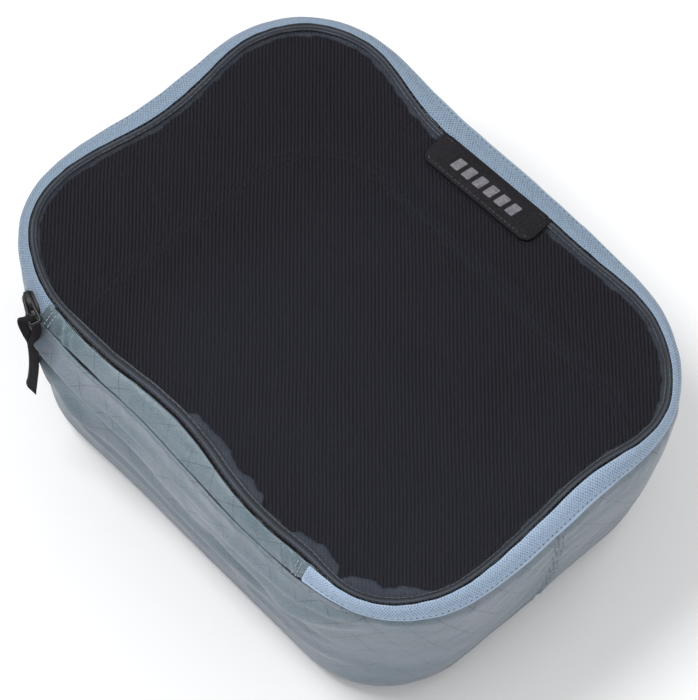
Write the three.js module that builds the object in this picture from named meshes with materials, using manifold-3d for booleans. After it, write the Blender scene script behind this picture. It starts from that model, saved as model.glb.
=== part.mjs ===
// Soft packing cube: a ripstop tub with a knit rim band, a sheer mesh top, a straight zip
// below a front flap, and a slider with a metal link and a webbing pull.
// Millimetres, +Z up. X runs along the zip, the zip side faces -Y, and the origin is the
// middle of the base on the surface it stands on.
import * as THREE from 'three';
import { mergeVertices } from 'three/addons/utils/BufferGeometryUtils.js';
import Module from 'manifold-3d';

const wasm = await Module();
wasm.setup();

// ---- shared dimensions ----------------------------------------------------------------
// Pairs are [low, high] along an axis. An inset is measured inwards from an outer face.
const GAP = 0.3;                 // clearance between neighbouring pieces
const HALF_X = 124;              // half length at the rim
const BACK_Y = 91.5;             // rear face at the rim
const BACK_RADIUS = 36;          // rear corners at the rim
const CORNER_SEGMENTS = 7;

const BAND_FRONT_Y = -84.5;      // the band's outer edge along the front
const BAND_RADIUS = 34;          // its front corners
const BAND_Z = [79.0, 85.4];     // lower, outer edge and upper, inner edge
const BAND_LEAN = 7;             // horizontal run of the leaning band
const LEAN_FROM_X = 77;          // the lean leaves x unchanged up to here
const BAND_T = 1.6;              // horizontal thickness
const BAND_END_X = [-76.4, 71.4]; // where the band stops on the front edge

const LEAF_HALF = 70;            // half width of the mesh leaf at the front edge
const ZIP_Y = -89.5;             // zip centreline
const ZIP_Z = 80.0;

// ---- materials ------------------------------------------------------------------------
const material = (settings) => new THREE.MeshStandardMaterial(settings);
const RIPSTOP = material({ color: 0x87939f, roughness: 0.62 });
const KNIT = material({ color: 0xa5bedc, roughness: 0.9 });
const MESH = material({ color: 0x2c2d33, roughness: 0.85 });
const TRIM = material({ color: 0x33363d, roughness: 0.88 });
const OVERLOCK = material({ color: 0x59626d, roughness: 0.9 });
const ZIP_TAPE = material({ color: 0x23252a, roughness: 0.9 });
const NYLON = material({ color: 0x1c1d21, roughness: 0.5 });
const METAL = material({ color: 0x17171a, roughness: 0.28, metalness: 0.85 });
const WEBBING = material({ color: 0x1f1e23, roughness: 0.82 });
const PATCH_SKIN = material({ color: 0x1b1b1f, roughness: 0.58 });
const THREAD = material({ color: 0x3c4a5c, roughness: 0.8 });
const MARK = material({ color: 0x8b8b90, roughness: 0.55 });

const group = new THREE.Group();
function piece(name, geometry, skin) {
  const mesh = new THREE.Mesh(geometry, skin);
  mesh.name = name;
  group.add(mesh);
}

// ---- plan shapes ----------------------------------------------------------------------
const { clamp } = THREE.MathUtils;
const point = (x, y) => new THREE.Vector2(x, y);
const points = (table) => table.map(([x, y]) => point(x, y));
const polygon = (table) => new THREE.Shape(points(table));
const around = (centre, half) => [centre - half, centre + half];

function ring(outer, inner) {
  const shape = new THREE.Shape(outer);
  shape.holes.push(new THREE.Path(inner));
  return shape;
}

// Closed rounded rectangle, anticlockwise from the right end of the rear right corner.
function outline(frontY, frontRadius, inset) {
  const right = HALF_X - inset;
  const front = frontY + inset;
  const rear = BACK_Y - inset;
  const frontR = frontRadius - inset;
  const rearR = BACK_RADIUS - inset;
  const corners = [
    // centre x, centre y, radius
    [right - rearR, rear - rearR, rearR],
    [rearR - right, rear - rearR, rearR],
    [frontR - right, front + frontR, frontR],
    [right - frontR, front + frontR, frontR],
  ];
  return corners.flatMap(([x, y, radius], quarter) => {
    const arc = [];
    for (let i = 0; i <= CORNER_SEGMENTS; i++) {
      const angle = (Math.PI / 2) * (quarter + i / CORNER_SEGMENTS);
      arc.push(point(x + radius * Math.cos(angle), y + radius * Math.sin(angle)));
    }
    return arc;
  });
}

// The place on a closed outline nearest to a target, and the index of its edge.
function nearest(loop, target) {
  let best = { distance: Infinity };
  loop.forEach((start, edge) => {
    const end = loop[(edge + 1) % loop.length];
    const along = end.clone().sub(start);
    const share = clamp(target.clone().sub(start).dot(along) / along.lengthSq(), 0, 1);
    const place = start.clone().addScaledVector(along, share);
    const distance = place.distanceTo(target);
    if (distance < best.distance - 1e-9) best = { distance, place, edge };
  });
  return best;
}

// Cuts a closed outline at two points and keeps the anticlockwise run between them.
function run(loop, from, to) {
  const MIN_STEP = 0.05;
  const start = nearest(loop, from);
  const end = nearest(loop, to);
  const kept = [start.place];
  const isClear = (next) => kept[kept.length - 1].distanceTo(next) > MIN_STEP;
  let i = start.edge;
  do {
    i = (i + 1) % loop.length;
    if (isClear(loop[i])) kept.push(loop[i]);
  } while (i !== end.edge);
  if (!isClear(end.place)) kept.pop();
  kept.push(end.place);
  return kept;
}

// A strip in plan between the runs that cutAt gives at two insets.
const strip = (cutAt, outerInset, innerInset) =>
  new THREE.Shape([...cutAt(outerInset), ...cutAt(innerInset).reverse()]);

// ---- solids ---------------------------------------------------------------------------
// options: steps and curveSegments
function extrude(shape, [z0, z1], options) {
  const settings = { depth: z1 - z0, bevelEnabled: false, ...options };
  return new THREE.ExtrudeGeometry(shape, settings).translate(0, 0, z0);
}
// The shape drawn in (y, z) and run along x.
function alongX(shape, [x0, x1], options) {
  return extrude(shape, [0, x1 - x0], options)
    .rotateY(Math.PI / 2)
    .rotateX(Math.PI / 2)
    .translate(x0, 0, 0);
}
// The shape drawn in (x, z) and run along y.
function alongY(shape, [y0, y1], options) {
  return extrude(shape, [0, y1 - y0], options)
    .rotateX(Math.PI / 2)
    .translate(0, y1, 0);
}
function box({ x, y, z }) {
  return new THREE.BoxGeometry(x[1] - x[0], y[1] - y[0], z[1] - z[0])
    .translate((x[0] + x[1]) / 2, (y[0] + y[1]) / 2, (z[0] + z[1]) / 2);
}
function reshape(geometry, move) {
  const position = geometry.attributes.position;
  for (let i = 0; i < position.count; i++) {
    position.setXYZ(i, ...move(position.getX(i), position.getY(i), position.getZ(i)));
  }
  geometry.computeVertexNormals();
  return geometry;
}
function toManifold(geometry) {
  const loose = geometry.index ? geometry.toNonIndexed() : geometry.clone();
  loose.deleteAttribute('normal');
  loose.deleteAttribute('uv');
  const welded = mergeVertices(loose, 1e-4);
  return new wasm.Manifold(new wasm.Mesh({
    numProp: 3,
    vertProperties: new Float32Array(welded.attributes.position.array),
    triVerts: new Uint32Array(welded.index.array),
  }));
}
function fromManifold(manifold) {
  const { vertProperties, triVerts } = manifold.getMesh();
  const geometry = new THREE.BufferGeometry();
  geometry.setAttribute('position', new THREE.Float32BufferAttribute(vertProperties, 3));
  geometry.setIndex(Array.from(triVerts));
  geometry.computeVertexNormals();
  return geometry;
}

// ---- tub ------------------------------------------------------------------------------
const FRONT_Y = -93;             // front wall face at the rim
const FRONT_RADIUS = 38;         // front corners at the rim
const WALL_TOP = 78.6;           // height of the walls' sewn top edge
const WALL_T = 1.2;              // doubled fabric with its seam allowance
const BASE_SCALE_X = 113 / HALF_X;       // base half length over the rim's
const BASE_SCALE_Y = -88.5 / FRONT_Y;    // base front face over the rim's
const TOE = 8;                   // height of the rounded bottom fold
const TOE_IN = 0.045;            // how far the fold tucks in, as a share
const WALL_STEPS = 7;
const BOTTOM_INSET = WALL_T + 0.4;
const BOTTOM_Z = [0, 1.1];
const BASE_BINDING = { insets: [WALL_T + 1.6, WALL_T + 5.0], z: [1.5, 2.5], taperZ: 0.8 };
const SIDE_BINDING = {
  x: [HALF_X - WALL_T - 1.4, HALF_X - WALL_T - 0.4],
  halfWidth: 4,
  z: [9, WALL_TOP - 1],
};

// The tub's taper and the tuck of its rounded bottom fold.
function tub(x, y, z) {
  const drop = 1 - clamp(z / WALL_TOP, 0, 1);
  const fold = 1 - clamp(z / TOE, 0, 1);
  const tuck = 1 - TOE_IN * (1 - Math.sqrt(1 - fold * fold));
  return [
    x * (1 - (1 - BASE_SCALE_X) * drop) * tuck,
    y * (1 - (1 - BASE_SCALE_Y) * drop) * tuck,
    z,
  ];
}
// Moves a flat piece by the tub's taper at one height, keeping its own z.
const tubAt = (height) => (x, y, z) => [...tub(x, y, height).slice(0, 2), z];
// Spaces the wall's sections closer in the rounded fold than above it.
function tubWall(x, y, z) {
  const share = z / WALL_TOP;
  return tub(x, y, WALL_TOP * (0.35 * share + 0.65 * share * share));
}
const wallLine = (inset) => outline(FRONT_Y, FRONT_RADIUS, inset);

// Two U-shaped wall halves meet at a seam in the middle of each short side.
for (const [name, side] of [['front_wall', -1], ['rear_wall', 1]]) {
  const cutAt = (inset) => {
    const x = side * (HALF_X - inset);
    const y = side * GAP / 2;
    return run(wallLine(inset), point(x, y), point(-x, y));
  };
  const wall = extrude(strip(cutAt, 0, WALL_T), [0, WALL_TOP], { steps: WALL_STEPS });
  piece(name, reshape(wall, tubWall), RIPSTOP);
}

const bottom = extrude(new THREE.Shape(wallLine(BOTTOM_INSET)), BOTTOM_Z);
piece('bottom_panel', reshape(bottom, tubAt(0)), RIPSTOP);

const baseBinding = extrude(ring(...BASE_BINDING.insets.map(wallLine)), BASE_BINDING.z);
piece('base_seam_binding', reshape(baseBinding, tubAt(BASE_BINDING.taperZ)), OVERLOCK);

for (const [name, side] of [['side_seam_binding_left', -1], ['side_seam_binding_right', 1]]) {
  const { x, halfWidth, z } = SIDE_BINDING;
  const [x0, x1] = side > 0 ? x : [-x[1], -x[0]];
  const shape = polygon([
    [x0, -halfWidth], [x1, -halfWidth], [x1, halfWidth], [x0, halfWidth],
  ]);
  piece(name, reshape(extrude(shape, z, { steps: 2 }), tub), OVERLOCK);
}

// ---- rim band, its stitch line and the trims under the mesh -----------------------------
const MESH_INSET = BAND_T + GAP; // from the band's outer face
const bandLine = (inset) => outline(BAND_FRONT_Y, BAND_RADIUS, inset);

// The band leans inwards as it rises.
function lean(x, y, z) {
  const shift = clamp((z - BAND_Z[0]) / (BAND_Z[1] - BAND_Z[0]), 0, 1) * BAND_LEAN;
  const middleY = (BACK_Y + BAND_FRONT_Y) / 2;
  const halfY = (BACK_Y - BAND_FRONT_Y) / 2;
  const distance = Math.abs(x);
  const beyond = Math.max(distance - LEAN_FROM_X, 0) * (1 - shift / (HALF_X - LEAN_FROM_X));
  return [
    Math.sign(x) * (Math.min(distance, LEAN_FROM_X) + beyond),
    middleY + (y - middleY) * (1 - shift / halfY),
    z,
  ];
}
// The lean of the band's upper edge, at any height.
const leanFull = (x, y, z) => [...lean(x, y, BAND_Z[1]).slice(0, 2), z];

// trim shortens the strip at each of its two front ends.
function bandStrip({ insets, trim, z, steps, move }) {
  const [left, right] = BAND_END_X;
  const cutAt = (inset) => {
    const y = BAND_FRONT_Y + inset;
    return run(bandLine(inset), point(right + trim, y), point(left - trim, y));
  };
  return reshape(extrude(strip(cutAt, ...insets), z, { steps }), move);
}
piece('rim_band', bandStrip({
  insets: [0, BAND_T], trim: 0, z: BAND_Z, steps: 2, move: lean,
}), KNIT);
piece('rim_topstitch', bandStrip({
  insets: [-0.7, -0.3], trim: 2, z: [80.2, 80.6], steps: 1, move: lean,
}), THREAD);
piece('mesh_hem_tape', bandStrip({
  insets: [MESH_INSET + 0.4, MESH_INSET + 3.6], trim: 4, z: [82.9, 83.9], steps: 1, move: leanFull,
}), TRIM);
piece('rim_seam_allowance', bandStrip({
  insets: [MESH_INSET + 0.4, MESH_INSET + 5.2], trim: 8, z: [81.6, 82.6], steps: 1, move: leanFull,
}), OVERLOCK);

// ---- mesh top -------------------------------------------------------------------------
const MESH_Z = [84.2, 85.0];
const LEAF_TIP_HALF = 5;
const LEAF_TIP_Y = -6;           // the leaf's narrow end, near the middle of the window
const LEAF_GAP = GAP + 0.1;
const NOTCH_OVERRUN = 2;         // how far the notch follows its side past the front edge
const windowFrontY = leanFull(0, BAND_FRONT_Y + MESH_INSET, 0)[1];

// Symmetric four-sided shape, given its right-hand foot and tip.
const trapezium = (foot, tip) =>
  polygon([[-foot.x, foot.y], [foot.x, foot.y], [tip.x, tip.y], [-tip.x, tip.y]]);
const leafFoot = point(LEAF_HALF, windowFrontY);
const leafTip = point(LEAF_TIP_HALF, LEAF_TIP_Y);

// The leaf's outline moved out by the clearance and run past the front edge.
function leafNotch() {
  const slope = leafFoot.clone().sub(leafTip).normalize();
  const outward = point(-slope.y, slope.x).multiplyScalar(LEAF_GAP);
  const foot = leafFoot.clone().add(outward).addScaledVector(slope, NOTCH_OVERRUN);
  const tip = leafTip.clone().add(outward).addScaledVector(slope, -LEAF_GAP);
  return extrude(trapezium(foot, tip), [MESH_Z[0] - 1, MESH_Z[1] + 1]);
}
const wholeMesh = reshape(extrude(new THREE.Shape(bandLine(MESH_INSET)), MESH_Z), leanFull);
const notchedMesh = toManifold(wholeMesh).subtract(toManifold(leafNotch()));
piece('mesh_panel', fromManifold(notchedMesh), MESH);
piece('mesh_front_leaf', extrude(trapezium(leafFoot, leafTip), MESH_Z), MESH);

// ---- flap above the zip's inner tape ----------------------------------------------------
const FLAP_SECTION = [           // y, z
  [-85.4, 82.4], [-84.4, 82.2], [-82.6, 84.2], [-78.9, 85.2],
  [-78.9, 86.2], [-83.2, 85.4], [-85.4, 83.4],
];
const FLAP_END_GAP = 0.7;        // from each end of the band
const FLAP_X = [BAND_END_X[0] + FLAP_END_GAP, BAND_END_X[1] - FLAP_END_GAP];
piece('zip_flap', alongX(polygon(FLAP_SECTION), FLAP_X), RIPSTOP);
piece('flap_hem_tape', box({
  x: around(0, LEAF_HALF - 1), y: [-78.6, windowFrontY - GAP], z: [84.0, 84.9],
}), TRIM);
piece('flap_seam_allowance', box({
  x: around(0, 66), y: [-75.2, -70.6], z: [82.9, 83.9],
}), OVERLOCK);

// ---- zip ------------------------------------------------------------------------------
const COIL_RADIUS = 0.75;
const COIL_OFFSET = 0.9;         // of each coil from the centreline
const COIL_SIDES = 10;
const LOWER_HALF = 90;           // half length of the outer, fixed coil
const UPPER_HALF = 76.5;         // half length of the inner, lifting coil
const TAPE_Z = around(ZIP_Z, 0.25);
const TAPE_OFFSET = COIL_OFFSET + COIL_RADIUS + GAP;
const STOP = { x: [90.5, 92.4], y: around(ZIP_Y, 1.9), z: [79.1, 81.0] };
const LIP = { y: -93.6, z: 79.6, radius: 0.6, x: around(0, 78) };

const circle = (path, { y, z }, radius, clockwise) =>
  path.absarc(y, z, radius, 0, Math.PI * 2, clockwise);
const coil = (y, halfLength) =>
  new THREE.CylinderGeometry(COIL_RADIUS, COIL_RADIUS, 2 * halfLength, COIL_SIDES)
    .rotateZ(Math.PI / 2)
    .translate(0, y, ZIP_Z);

piece('zip_coil_lower', coil(ZIP_Y - COIL_OFFSET, LOWER_HALF), NYLON);
piece('zip_coil_upper', coil(ZIP_Y + COIL_OFFSET, UPPER_HALF), NYLON);
piece('zip_tape_lower', box({
  x: around(0, 88), y: [-92.7, ZIP_Y - TAPE_OFFSET], z: TAPE_Z,
}), ZIP_TAPE);
piece('zip_tape_upper', box({
  x: around(0, UPPER_HALF), y: [ZIP_Y + TAPE_OFFSET, -84.9], z: TAPE_Z,
}), ZIP_TAPE);
const lip = circle(new THREE.Shape(), LIP, LIP.radius, false);
piece('wall_top_lip', alongX(lip, LIP.x, { curveSegments: 4 }), RIPSTOP);
piece('zip_stop_left', box({ ...STOP, x: [-STOP.x[1], -STOP.x[0]] }), METAL);
piece('zip_stop_right', box(STOP), METAL);

// ---- slider: saddle over the coils, plate under them, bail on top -----------------------
const SLIDER_X = [-90, -82];
const SADDLE_Z = [80.6, 82.3];
const SADDLE_HALF_Y = 3.1;
const CHANNEL = {
  x: [SLIDER_X[0] - 1, SLIDER_X[1] + 1], y: around(ZIP_Y, 2.6), z: [80.0, 81.2],
};
const LINK_X = -88;              // cross bar of the link, under the bail
const LINK_Z = 84.6;
const BAIL_RADIUS = 1.15;        // inside of the bail, around the cross bar
const BAIL_OUTER = [             // x from the cross bar, z; from the right foot over the top
  [3.6, SADDLE_Z[1] + GAP], [2.3, LINK_Z + 0.6], [1.1, LINK_Z + 1.9],
  [-1.1, LINK_Z + 1.9], [-2.1, LINK_Z + 0.8],
];

const saddle = box({ x: SLIDER_X, y: around(ZIP_Y, SADDLE_HALF_Y), z: SADDLE_Z });
const slider = toManifold(saddle).subtract(toManifold(box(CHANNEL)));
piece('slider_body', fromManifold(slider), METAL);
piece('slider_lower_plate', box({
  x: [SLIDER_X[0] + 0.4, SLIDER_X[1] - 0.4], y: around(ZIP_Y, 1.7), z: [77.8, 78.8],
}), METAL);

function bailShape() {
  const footZ = SADDLE_Z[1] + GAP;
  const [left, right] = around(LINK_X, BAIL_RADIUS);
  const shape = new THREE.Shape();
  shape.moveTo(LINK_X - 2.1, footZ);
  shape.lineTo(left, footZ);
  shape.lineTo(left, LINK_Z);
  shape.absarc(LINK_X, LINK_Z, BAIL_RADIUS, Math.PI, 0, true);
  shape.lineTo(right, footZ);
  for (const [x, z] of BAIL_OUTER) shape.lineTo(LINK_X + x, z);
  shape.closePath();
  return shape;
}
piece('slider_bail', alongY(bailShape(), around(ZIP_Y, 0.8), { curveSegments: 5 }), METAL);

// ---- link -----------------------------------------------------------------------------
const LINK_HALF_W = [2.6, 3.1];  // at the bail end and at the pull end
const LINK_END_X = [LINK_X - 0.55, LINK_X + 10.4];
const LINK_BAR = { end: 1.1, side: 0.95 };     // widths of the end and side bars
const LINK_CHAMFER = [0.6, 0.8]; // at the bail end and at the pull end

function linkShape() {
  const [x0, x1] = LINK_END_X;
  const [half0, half1] = LINK_HALF_W;
  const [cut0, cut1] = LINK_CHAMFER;
  const outer = [
    [x0, cut0 - half0], [x0 + cut0, -half0], [x1 - cut1, -half1], [x1, cut1 - half1],
    [x1, half1 - cut1], [x1 - cut1, half1], [x0 + cut0, half0], [x0, half0 - cut0],
  ];
  const { end, side } = LINK_BAR;
  const inner = [
    [x0 + end, side - half0], [x0 + end, half0 - side],
    [x1 - end, half1 - side], [x1 - end, side - half1],
  ];
  const place = (table) => points(table.map(([x, y]) => [x, ZIP_Y + y]));
  return ring(place(outer), place(inner));
}
piece('puller_frame', extrude(linkShape(), around(LINK_Z, 0.55)), METAL);

// ---- webbing pull: an eye around the link's front bar and a hanging tail -----------------
const PULL_W = 4.2;
const PULL_LENGTH = 36;          // drop of the tail's rear face below the link
const PULL_RIGHT = LINK_END_X[1] - 1.4;
const PULL_X = [PULL_RIGHT - PULL_W, PULL_RIGHT];
const EYE = { y: ZIP_Y - LINK_HALF_W[1] + 0.62, z: LINK_Z };
const EYE_RADII = [1.05, 1.75];
const TAIL_Y = [-96.2, -94.9];   // front and rear faces
const TAIL_TOP_Y = EYE.y - 1.35;
const TAIL_SECTION = [           // y, z
  [TAIL_TOP_Y - 0.3, LINK_Z + 0.9], [TAIL_TOP_Y + 0.15, LINK_Z - 0.4],
  [TAIL_Y[1], 80.9], [TAIL_Y[1], LINK_Z - PULL_LENGTH],
  [TAIL_Y[0], LINK_Z - PULL_LENGTH - 0.8], [TAIL_Y[0], 81.2],
];

const eye = circle(new THREE.Shape(), EYE, EYE_RADII[1], false);
eye.holes.push(circle(new THREE.Path(), EYE, EYE_RADII[0], true));
const pull = toManifold(alongX(eye, PULL_X, { curveSegments: 8 }))
  .add(toManifold(alongX(polygon(TAIL_SECTION), PULL_X)));
piece('pull_tape', fromManifold(pull), WEBBING);
piece('pull_tape_bartack', box({
  x: [PULL_X[0] + 0.5, PULL_X[1] - 0.5],
  y: [TAIL_Y[0] - GAP - 0.5, TAIL_Y[0] - GAP],
  z: [75.5, 77.5],
}), THREAD);

// ---- patch near the back edge of the mesh -----------------------------------------------
const PATCH = { x: [-31, 25], y: [68, 82], z: [85.5, 86.7], radius: 4 };
const STITCH_INSETS = [1.5, 1.9];
const DETAIL_Z = PATCH.z[1] + GAP; // underside of the stitching and the mark
const STITCH_T = 0.3;
const MARK_T = 0.5;
const LOZENGE = { pitch: 6.4, halfHeight: 2.4, tipHalf: 0.3 };

function patchShape(inset) {
  const [x0, x1] = [PATCH.x[0] + inset, PATCH.x[1] - inset];
  const [y0, y1] = [PATCH.y[0] + inset, PATCH.y[1] - inset];
  const r = PATCH.radius - inset;
  const shape = new THREE.Shape();
  shape.moveTo(x0 + r, y0);
  shape.lineTo(x1 - r, y0);
  shape.absarc(x1 - r, y0 + r, r, -Math.PI / 2, 0, false);
  shape.lineTo(x1, y1 - r);
  shape.absarc(x1 - r, y1 - r, r, 0, Math.PI / 2, false);
  shape.lineTo(x0 + r, y1);
  shape.absarc(x0 + r, y1 - r, r, Math.PI / 2, Math.PI, false);
  shape.lineTo(x0, y0 + r);
  shape.absarc(x0 + r, y0 + r, r, Math.PI, 1.5 * Math.PI, false);
  return shape;
}
piece('label_patch', extrude(patchShape(0), PATCH.z, { curveSegments: 4 }), PATCH_SKIN);

const [stitching, stitchHole] = STITCH_INSETS.map(patchShape);
stitching.holes.push(stitchHole);
piece('patch_stitching',
  extrude(stitching, [DETAIL_Z, DETAIL_Z + STITCH_T], { curveSegments: 4 }), THREAD);

// A plain chain of five lozenges joined at their tips.
function chainShape() {
  const { pitch, halfHeight, tipHalf } = LOZENGE;
  const middleX = (PATCH.x[0] + PATCH.x[1]) / 2;
  const middleY = (PATCH.y[0] + PATCH.y[1]) / 2;
  const edge = [];               // x, half height
  for (let i = -2; i <= 2; i++) {
    const x = middleX + i * pitch;
    edge.push([x - pitch / 2, tipHalf], [x, halfHeight]);
  }
  edge.push([middleX + 2.5 * pitch, tipHalf]);
  const side = (sign) => edge.map(([x, half]) => [x, middleY + sign * half]);
  return polygon([...side(-1), ...side(1).reverse()]);
}
piece('patch_mark', extrude(chainShape(), [DETAIL_Z, DETAIL_Z + MARK_T]), MARK);

export default group;
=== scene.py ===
"""A low soft case with cloth walls, a zip round the front and a lid of sheer mesh.

It stands on the floor at z = 0, front towards -y, right towards +x. Sizes are in mm unless a
line says otherwise, and are scaled to metres when a mesh is built. "Arc" is the length
along the outer edge of the rim, anticlockwise from the middle of the front.
"""
import bpy
import math
import numpy as np
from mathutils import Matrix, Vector


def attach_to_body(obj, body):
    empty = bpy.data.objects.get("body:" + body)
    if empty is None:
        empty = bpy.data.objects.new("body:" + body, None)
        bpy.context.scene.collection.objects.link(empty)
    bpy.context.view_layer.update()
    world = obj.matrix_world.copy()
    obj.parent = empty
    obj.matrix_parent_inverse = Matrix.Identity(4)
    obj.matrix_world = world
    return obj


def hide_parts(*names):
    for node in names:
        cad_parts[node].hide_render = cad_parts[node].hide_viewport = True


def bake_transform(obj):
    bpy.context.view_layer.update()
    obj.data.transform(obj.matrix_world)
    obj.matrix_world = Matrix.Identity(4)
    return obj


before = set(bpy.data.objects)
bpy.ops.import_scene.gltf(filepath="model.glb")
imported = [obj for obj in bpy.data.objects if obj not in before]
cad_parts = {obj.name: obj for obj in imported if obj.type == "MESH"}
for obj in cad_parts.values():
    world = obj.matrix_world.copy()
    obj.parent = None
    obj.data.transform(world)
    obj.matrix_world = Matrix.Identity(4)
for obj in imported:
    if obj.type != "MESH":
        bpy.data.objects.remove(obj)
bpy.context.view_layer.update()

MM = 0.001
UP = np.array([0, 0, 1.0])
rng = np.random.RandomState(7)

# ------------------------------------------------------------------ driving dimensions
# Outer edge of the rim (x, y, z). Along the front it is the lower edge of the flap.
OUTER_EDGE = [
    (4.4, -89.2, 80.0), (14.3, -89.3, 80.0), (26, -89.7, 80.0), (39.8, -89.8, 80.0),
    (55.8, -89.0, 79.9), (70.2, -87.6, 79.5), (81.5, -85.4, 78.8), (91.5, -81.4, 77.5),
    (100.2, -76.0, 76.5), (108.6, -68.0, 76.4), (115.2, -57.8, 76.6), (118.4, -48.5, 76.8),
    (120.4, -37.5, 77.4), (121.3, -24.5, 78.0), (121.0, -12.0, 78.4), (120.3, 2.0, 78.6),
    (119.5, 16.0, 78.2), (119.2, 30.0, 77.3), (118.8, 40.0, 76.5), (117.7, 49.5, 76.1),
    (115.6, 58.3, 76.1), (111.5, 67.0, 76.4), (105.4, 75.0, 76.7), (97.6, 81.9, 77.1),
    (88.5, 87.0, 77.4), (79.2, 90.7, 78.0), (68.8, 92.5, 78.7), (58.7, 93.0, 79.6),
    (49.4, 93.0, 80.5), (40.6, 92.9, 81.1), (32.5, 92.8, 81.5), (24.4, 92.7, 81.6),
    (17.1, 92.4, 81.8), (10.2, 92.1, 82.3), (3.6, 91.8, 82.7), (-3.0, 91.5, 82.9),
    (-9.6, 91.2, 82.9), (-16.0, 90.8, 83.1), (-22.5, 90.5, 83.2), (-28.8, 90.2, 83.4),
    (-35.4, 90.0, 83.4), (-42.9, 90.4, 82.8), (-50.9, 91.1, 81.6), (-59.5, 91.9, 80.2),
    (-68.8, 92.7, 79.2), (-77.9, 92.7, 78.7), (-87.2, 91.6, 78.7), (-95.4, 88.9, 78.8),
    (-103.0, 85.0, 78.8), (-109.9, 79.9, 78.9), (-115.4, 73.6, 79.0), (-119.8, 66.4, 79.1),
    (-122.8, 58.6, 79.1), (-124.4, 50.1, 79.1), (-124.7, 41.3, 79.3), (-124.2, 32.3, 79.9),
    (-123.5, 23.4, 80.7), (-123.0, 14.7, 81.3), (-122.8, 6.3, 81.5), (-123.1, -2.0, 81.4),
    (-124.2, -10.6, 81.1), (-125.6, -19.5, 80.6), (-126.6, -28.8, 80.0), (-126.8, -38.6, 79.5),
    (-125.8, -48.4, 78.9), (-122.8, -57.6, 78.2), (-117.7, -66.2, 77.7), (-110.4, -73.4, 77.3),
    (-101.6, -79.3, 77.2), (-92.0, -84.3, 77.9), (-82.5, -88.0, 79.2), (-73.1, -89.7, 79.9),
    (-61.2, -89.9, 80.0), (-49.9, -89.6, 80.0), (-41.4, -89.6, 80.0), (-29.0, -88.9, 80.0),
    (-17.1, -88.5, 80.0), (-6.0, -88.8, 80.0)]
# Inner edge of the rim, where the mesh starts (x, y); all at one height.
INNER_Z = 86.0
INNER_EDGE = [
    (5.9, -81.3), (14, -82.6), (21.7, -83.8), (30, -84.8), (37.7, -85.2), (51.6, -84.8),
    (60, -83.6), (69.2, -82.9), (78.0, -82.4), (83.7, -81.9), (91.7, -79.4), (98.3, -75.6),
    (104.1, -70.2), (108.4, -63.9), (112.1, -57.0), (114.4, -49.5), (115.5, -41.7),
    (115.7, -33.5), (115.6, -25.6), (115.2, -17.6), (114.7, -9.8), (114.2, -1.9), (113.4, 6.0),
    (113.0, 14.1), (113.2, 22.6), (114.5, 31.9), (116.3, 42.3), (115.9, 52.4), (112.5, 61.7),
    (106.2, 69.5), (98.4, 76.1), (89.3, 81.2), (79.6, 84.6), (68.7, 85.7), (57.8, 85.2),
    (47.9, 84.3), (39.3, 83.9), (31.6, 83.8), (24.3, 83.7), (17.4, 83.3), (10.8, 82.8),
    (4.5, 82.4), (-1.6, 82.1), (-7.5, 81.7), (-13.4, 81.4), (-19.3, 81.0), (-25.3, 80.5),
    (-30.9, 80.0), (-37.4, 80.1), (-44.5, 80.8), (-52.3, 82.1), (-61.4, 84.0), (-71.9, 86.0),
    (-81.1, 86.0), (-89.9, 83.9), (-97.6, 80.4), (-104.5, 75.6), (-109.9, 69.5), (-113.9, 62.3),
    (-116.5, 54.4), (-117.7, 46.1), (-117.0, 37.1), (-115.6, 28.4), (-114.4, 20.1),
    (-113.8, 12.2), (-113.6, 4.3), (-114.0, -3.6), (-115.4, -11.8), (-117.2, -20.5),
    (-118.8, -29.7), (-119.6, -39.4), (-118.9, -49.2), (-116.1, -58.7), (-110.8, -67.2),
    (-102.9, -73.9), (-93.3, -78.8), (-84.5, -81.9), (-75.5, -83.6), (-66.5, -84.4),
    (-60.6, -84.7), (-52.7, -84.6), (-41.8, -84.0), (-35.8, -83.0), (-22.4, -81.2),
    (-7.9, -80.3)]

MESH_Z = INNER_Z - 0.75           # edge of the mesh lid
FLAP_X = (-76.0, 71.0)            # where the flap ends and the knit band begins
ZIP_X = (-92.0, 90.0)
FLAP_STITCH_X = (-74.3, -72.3, 66.2, 68.0)
SEAM_Y = -4.0                     # side seams
KNIT_PITCH = 1.20                 # stitch length along the band
KNIT_ROW = 0.74                   # row spacing across it
WALL_TURN_Z = 13.0                # height where the wall starts to turn under
WALL_INSET = 9.5                  # how far it turns under
WALL_FOOT_Z = 0.9
# Long drawn folds on the front wall: x0, z0, x1, z1, half width, height
FOLDS = [
    (-90, 75, -20, 62, 2.8, 1.5), (-90, 72, 45, 68, 2.4, 0.8), (-88, 68, -40, 42, 4.2, 1.3),
    (92, 74, 10, 62, 2.8, 1.1), (96, 68, 50, 48, 4.0, 1.1), (-60, 60, 70, 57, 4.0, 0.9),
    (-94, 66, -80, 30, 4.0, 1.2), (-80, 46, 60, 46, 5.0, 1.0), (-80, 65, -10, 53, 3.0, -0.9),
    (20, 57, 90, 42, 3.6, -0.8), (-60, 32, 30, 29, 5.0, 0.7), (40, 37, 95, 27, 4.6, 0.8)]


# ------------------------------------------------------------------ numeric helpers
def smoothstep(low, high, value):
    share = np.clip((np.asarray(value, float) - low) / (high - low), 0, 1)
    return share * share * (3 - 2 * share)


def bell(value, centre, width):
    return np.exp(-((value - centre) / width) ** 2)


def ripple(value, pitch):
    return np.cos(2 * math.pi * value / pitch)


def signed_power(value, power):
    return np.sign(value) * np.abs(value) ** power


def unit(vectors):
    return vectors / np.maximum(np.linalg.norm(vectors, axis=-1, keepdims=True), 1e-12)


def turn_angles(count):
    return 2 * math.pi * np.arange(count) / count


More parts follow.
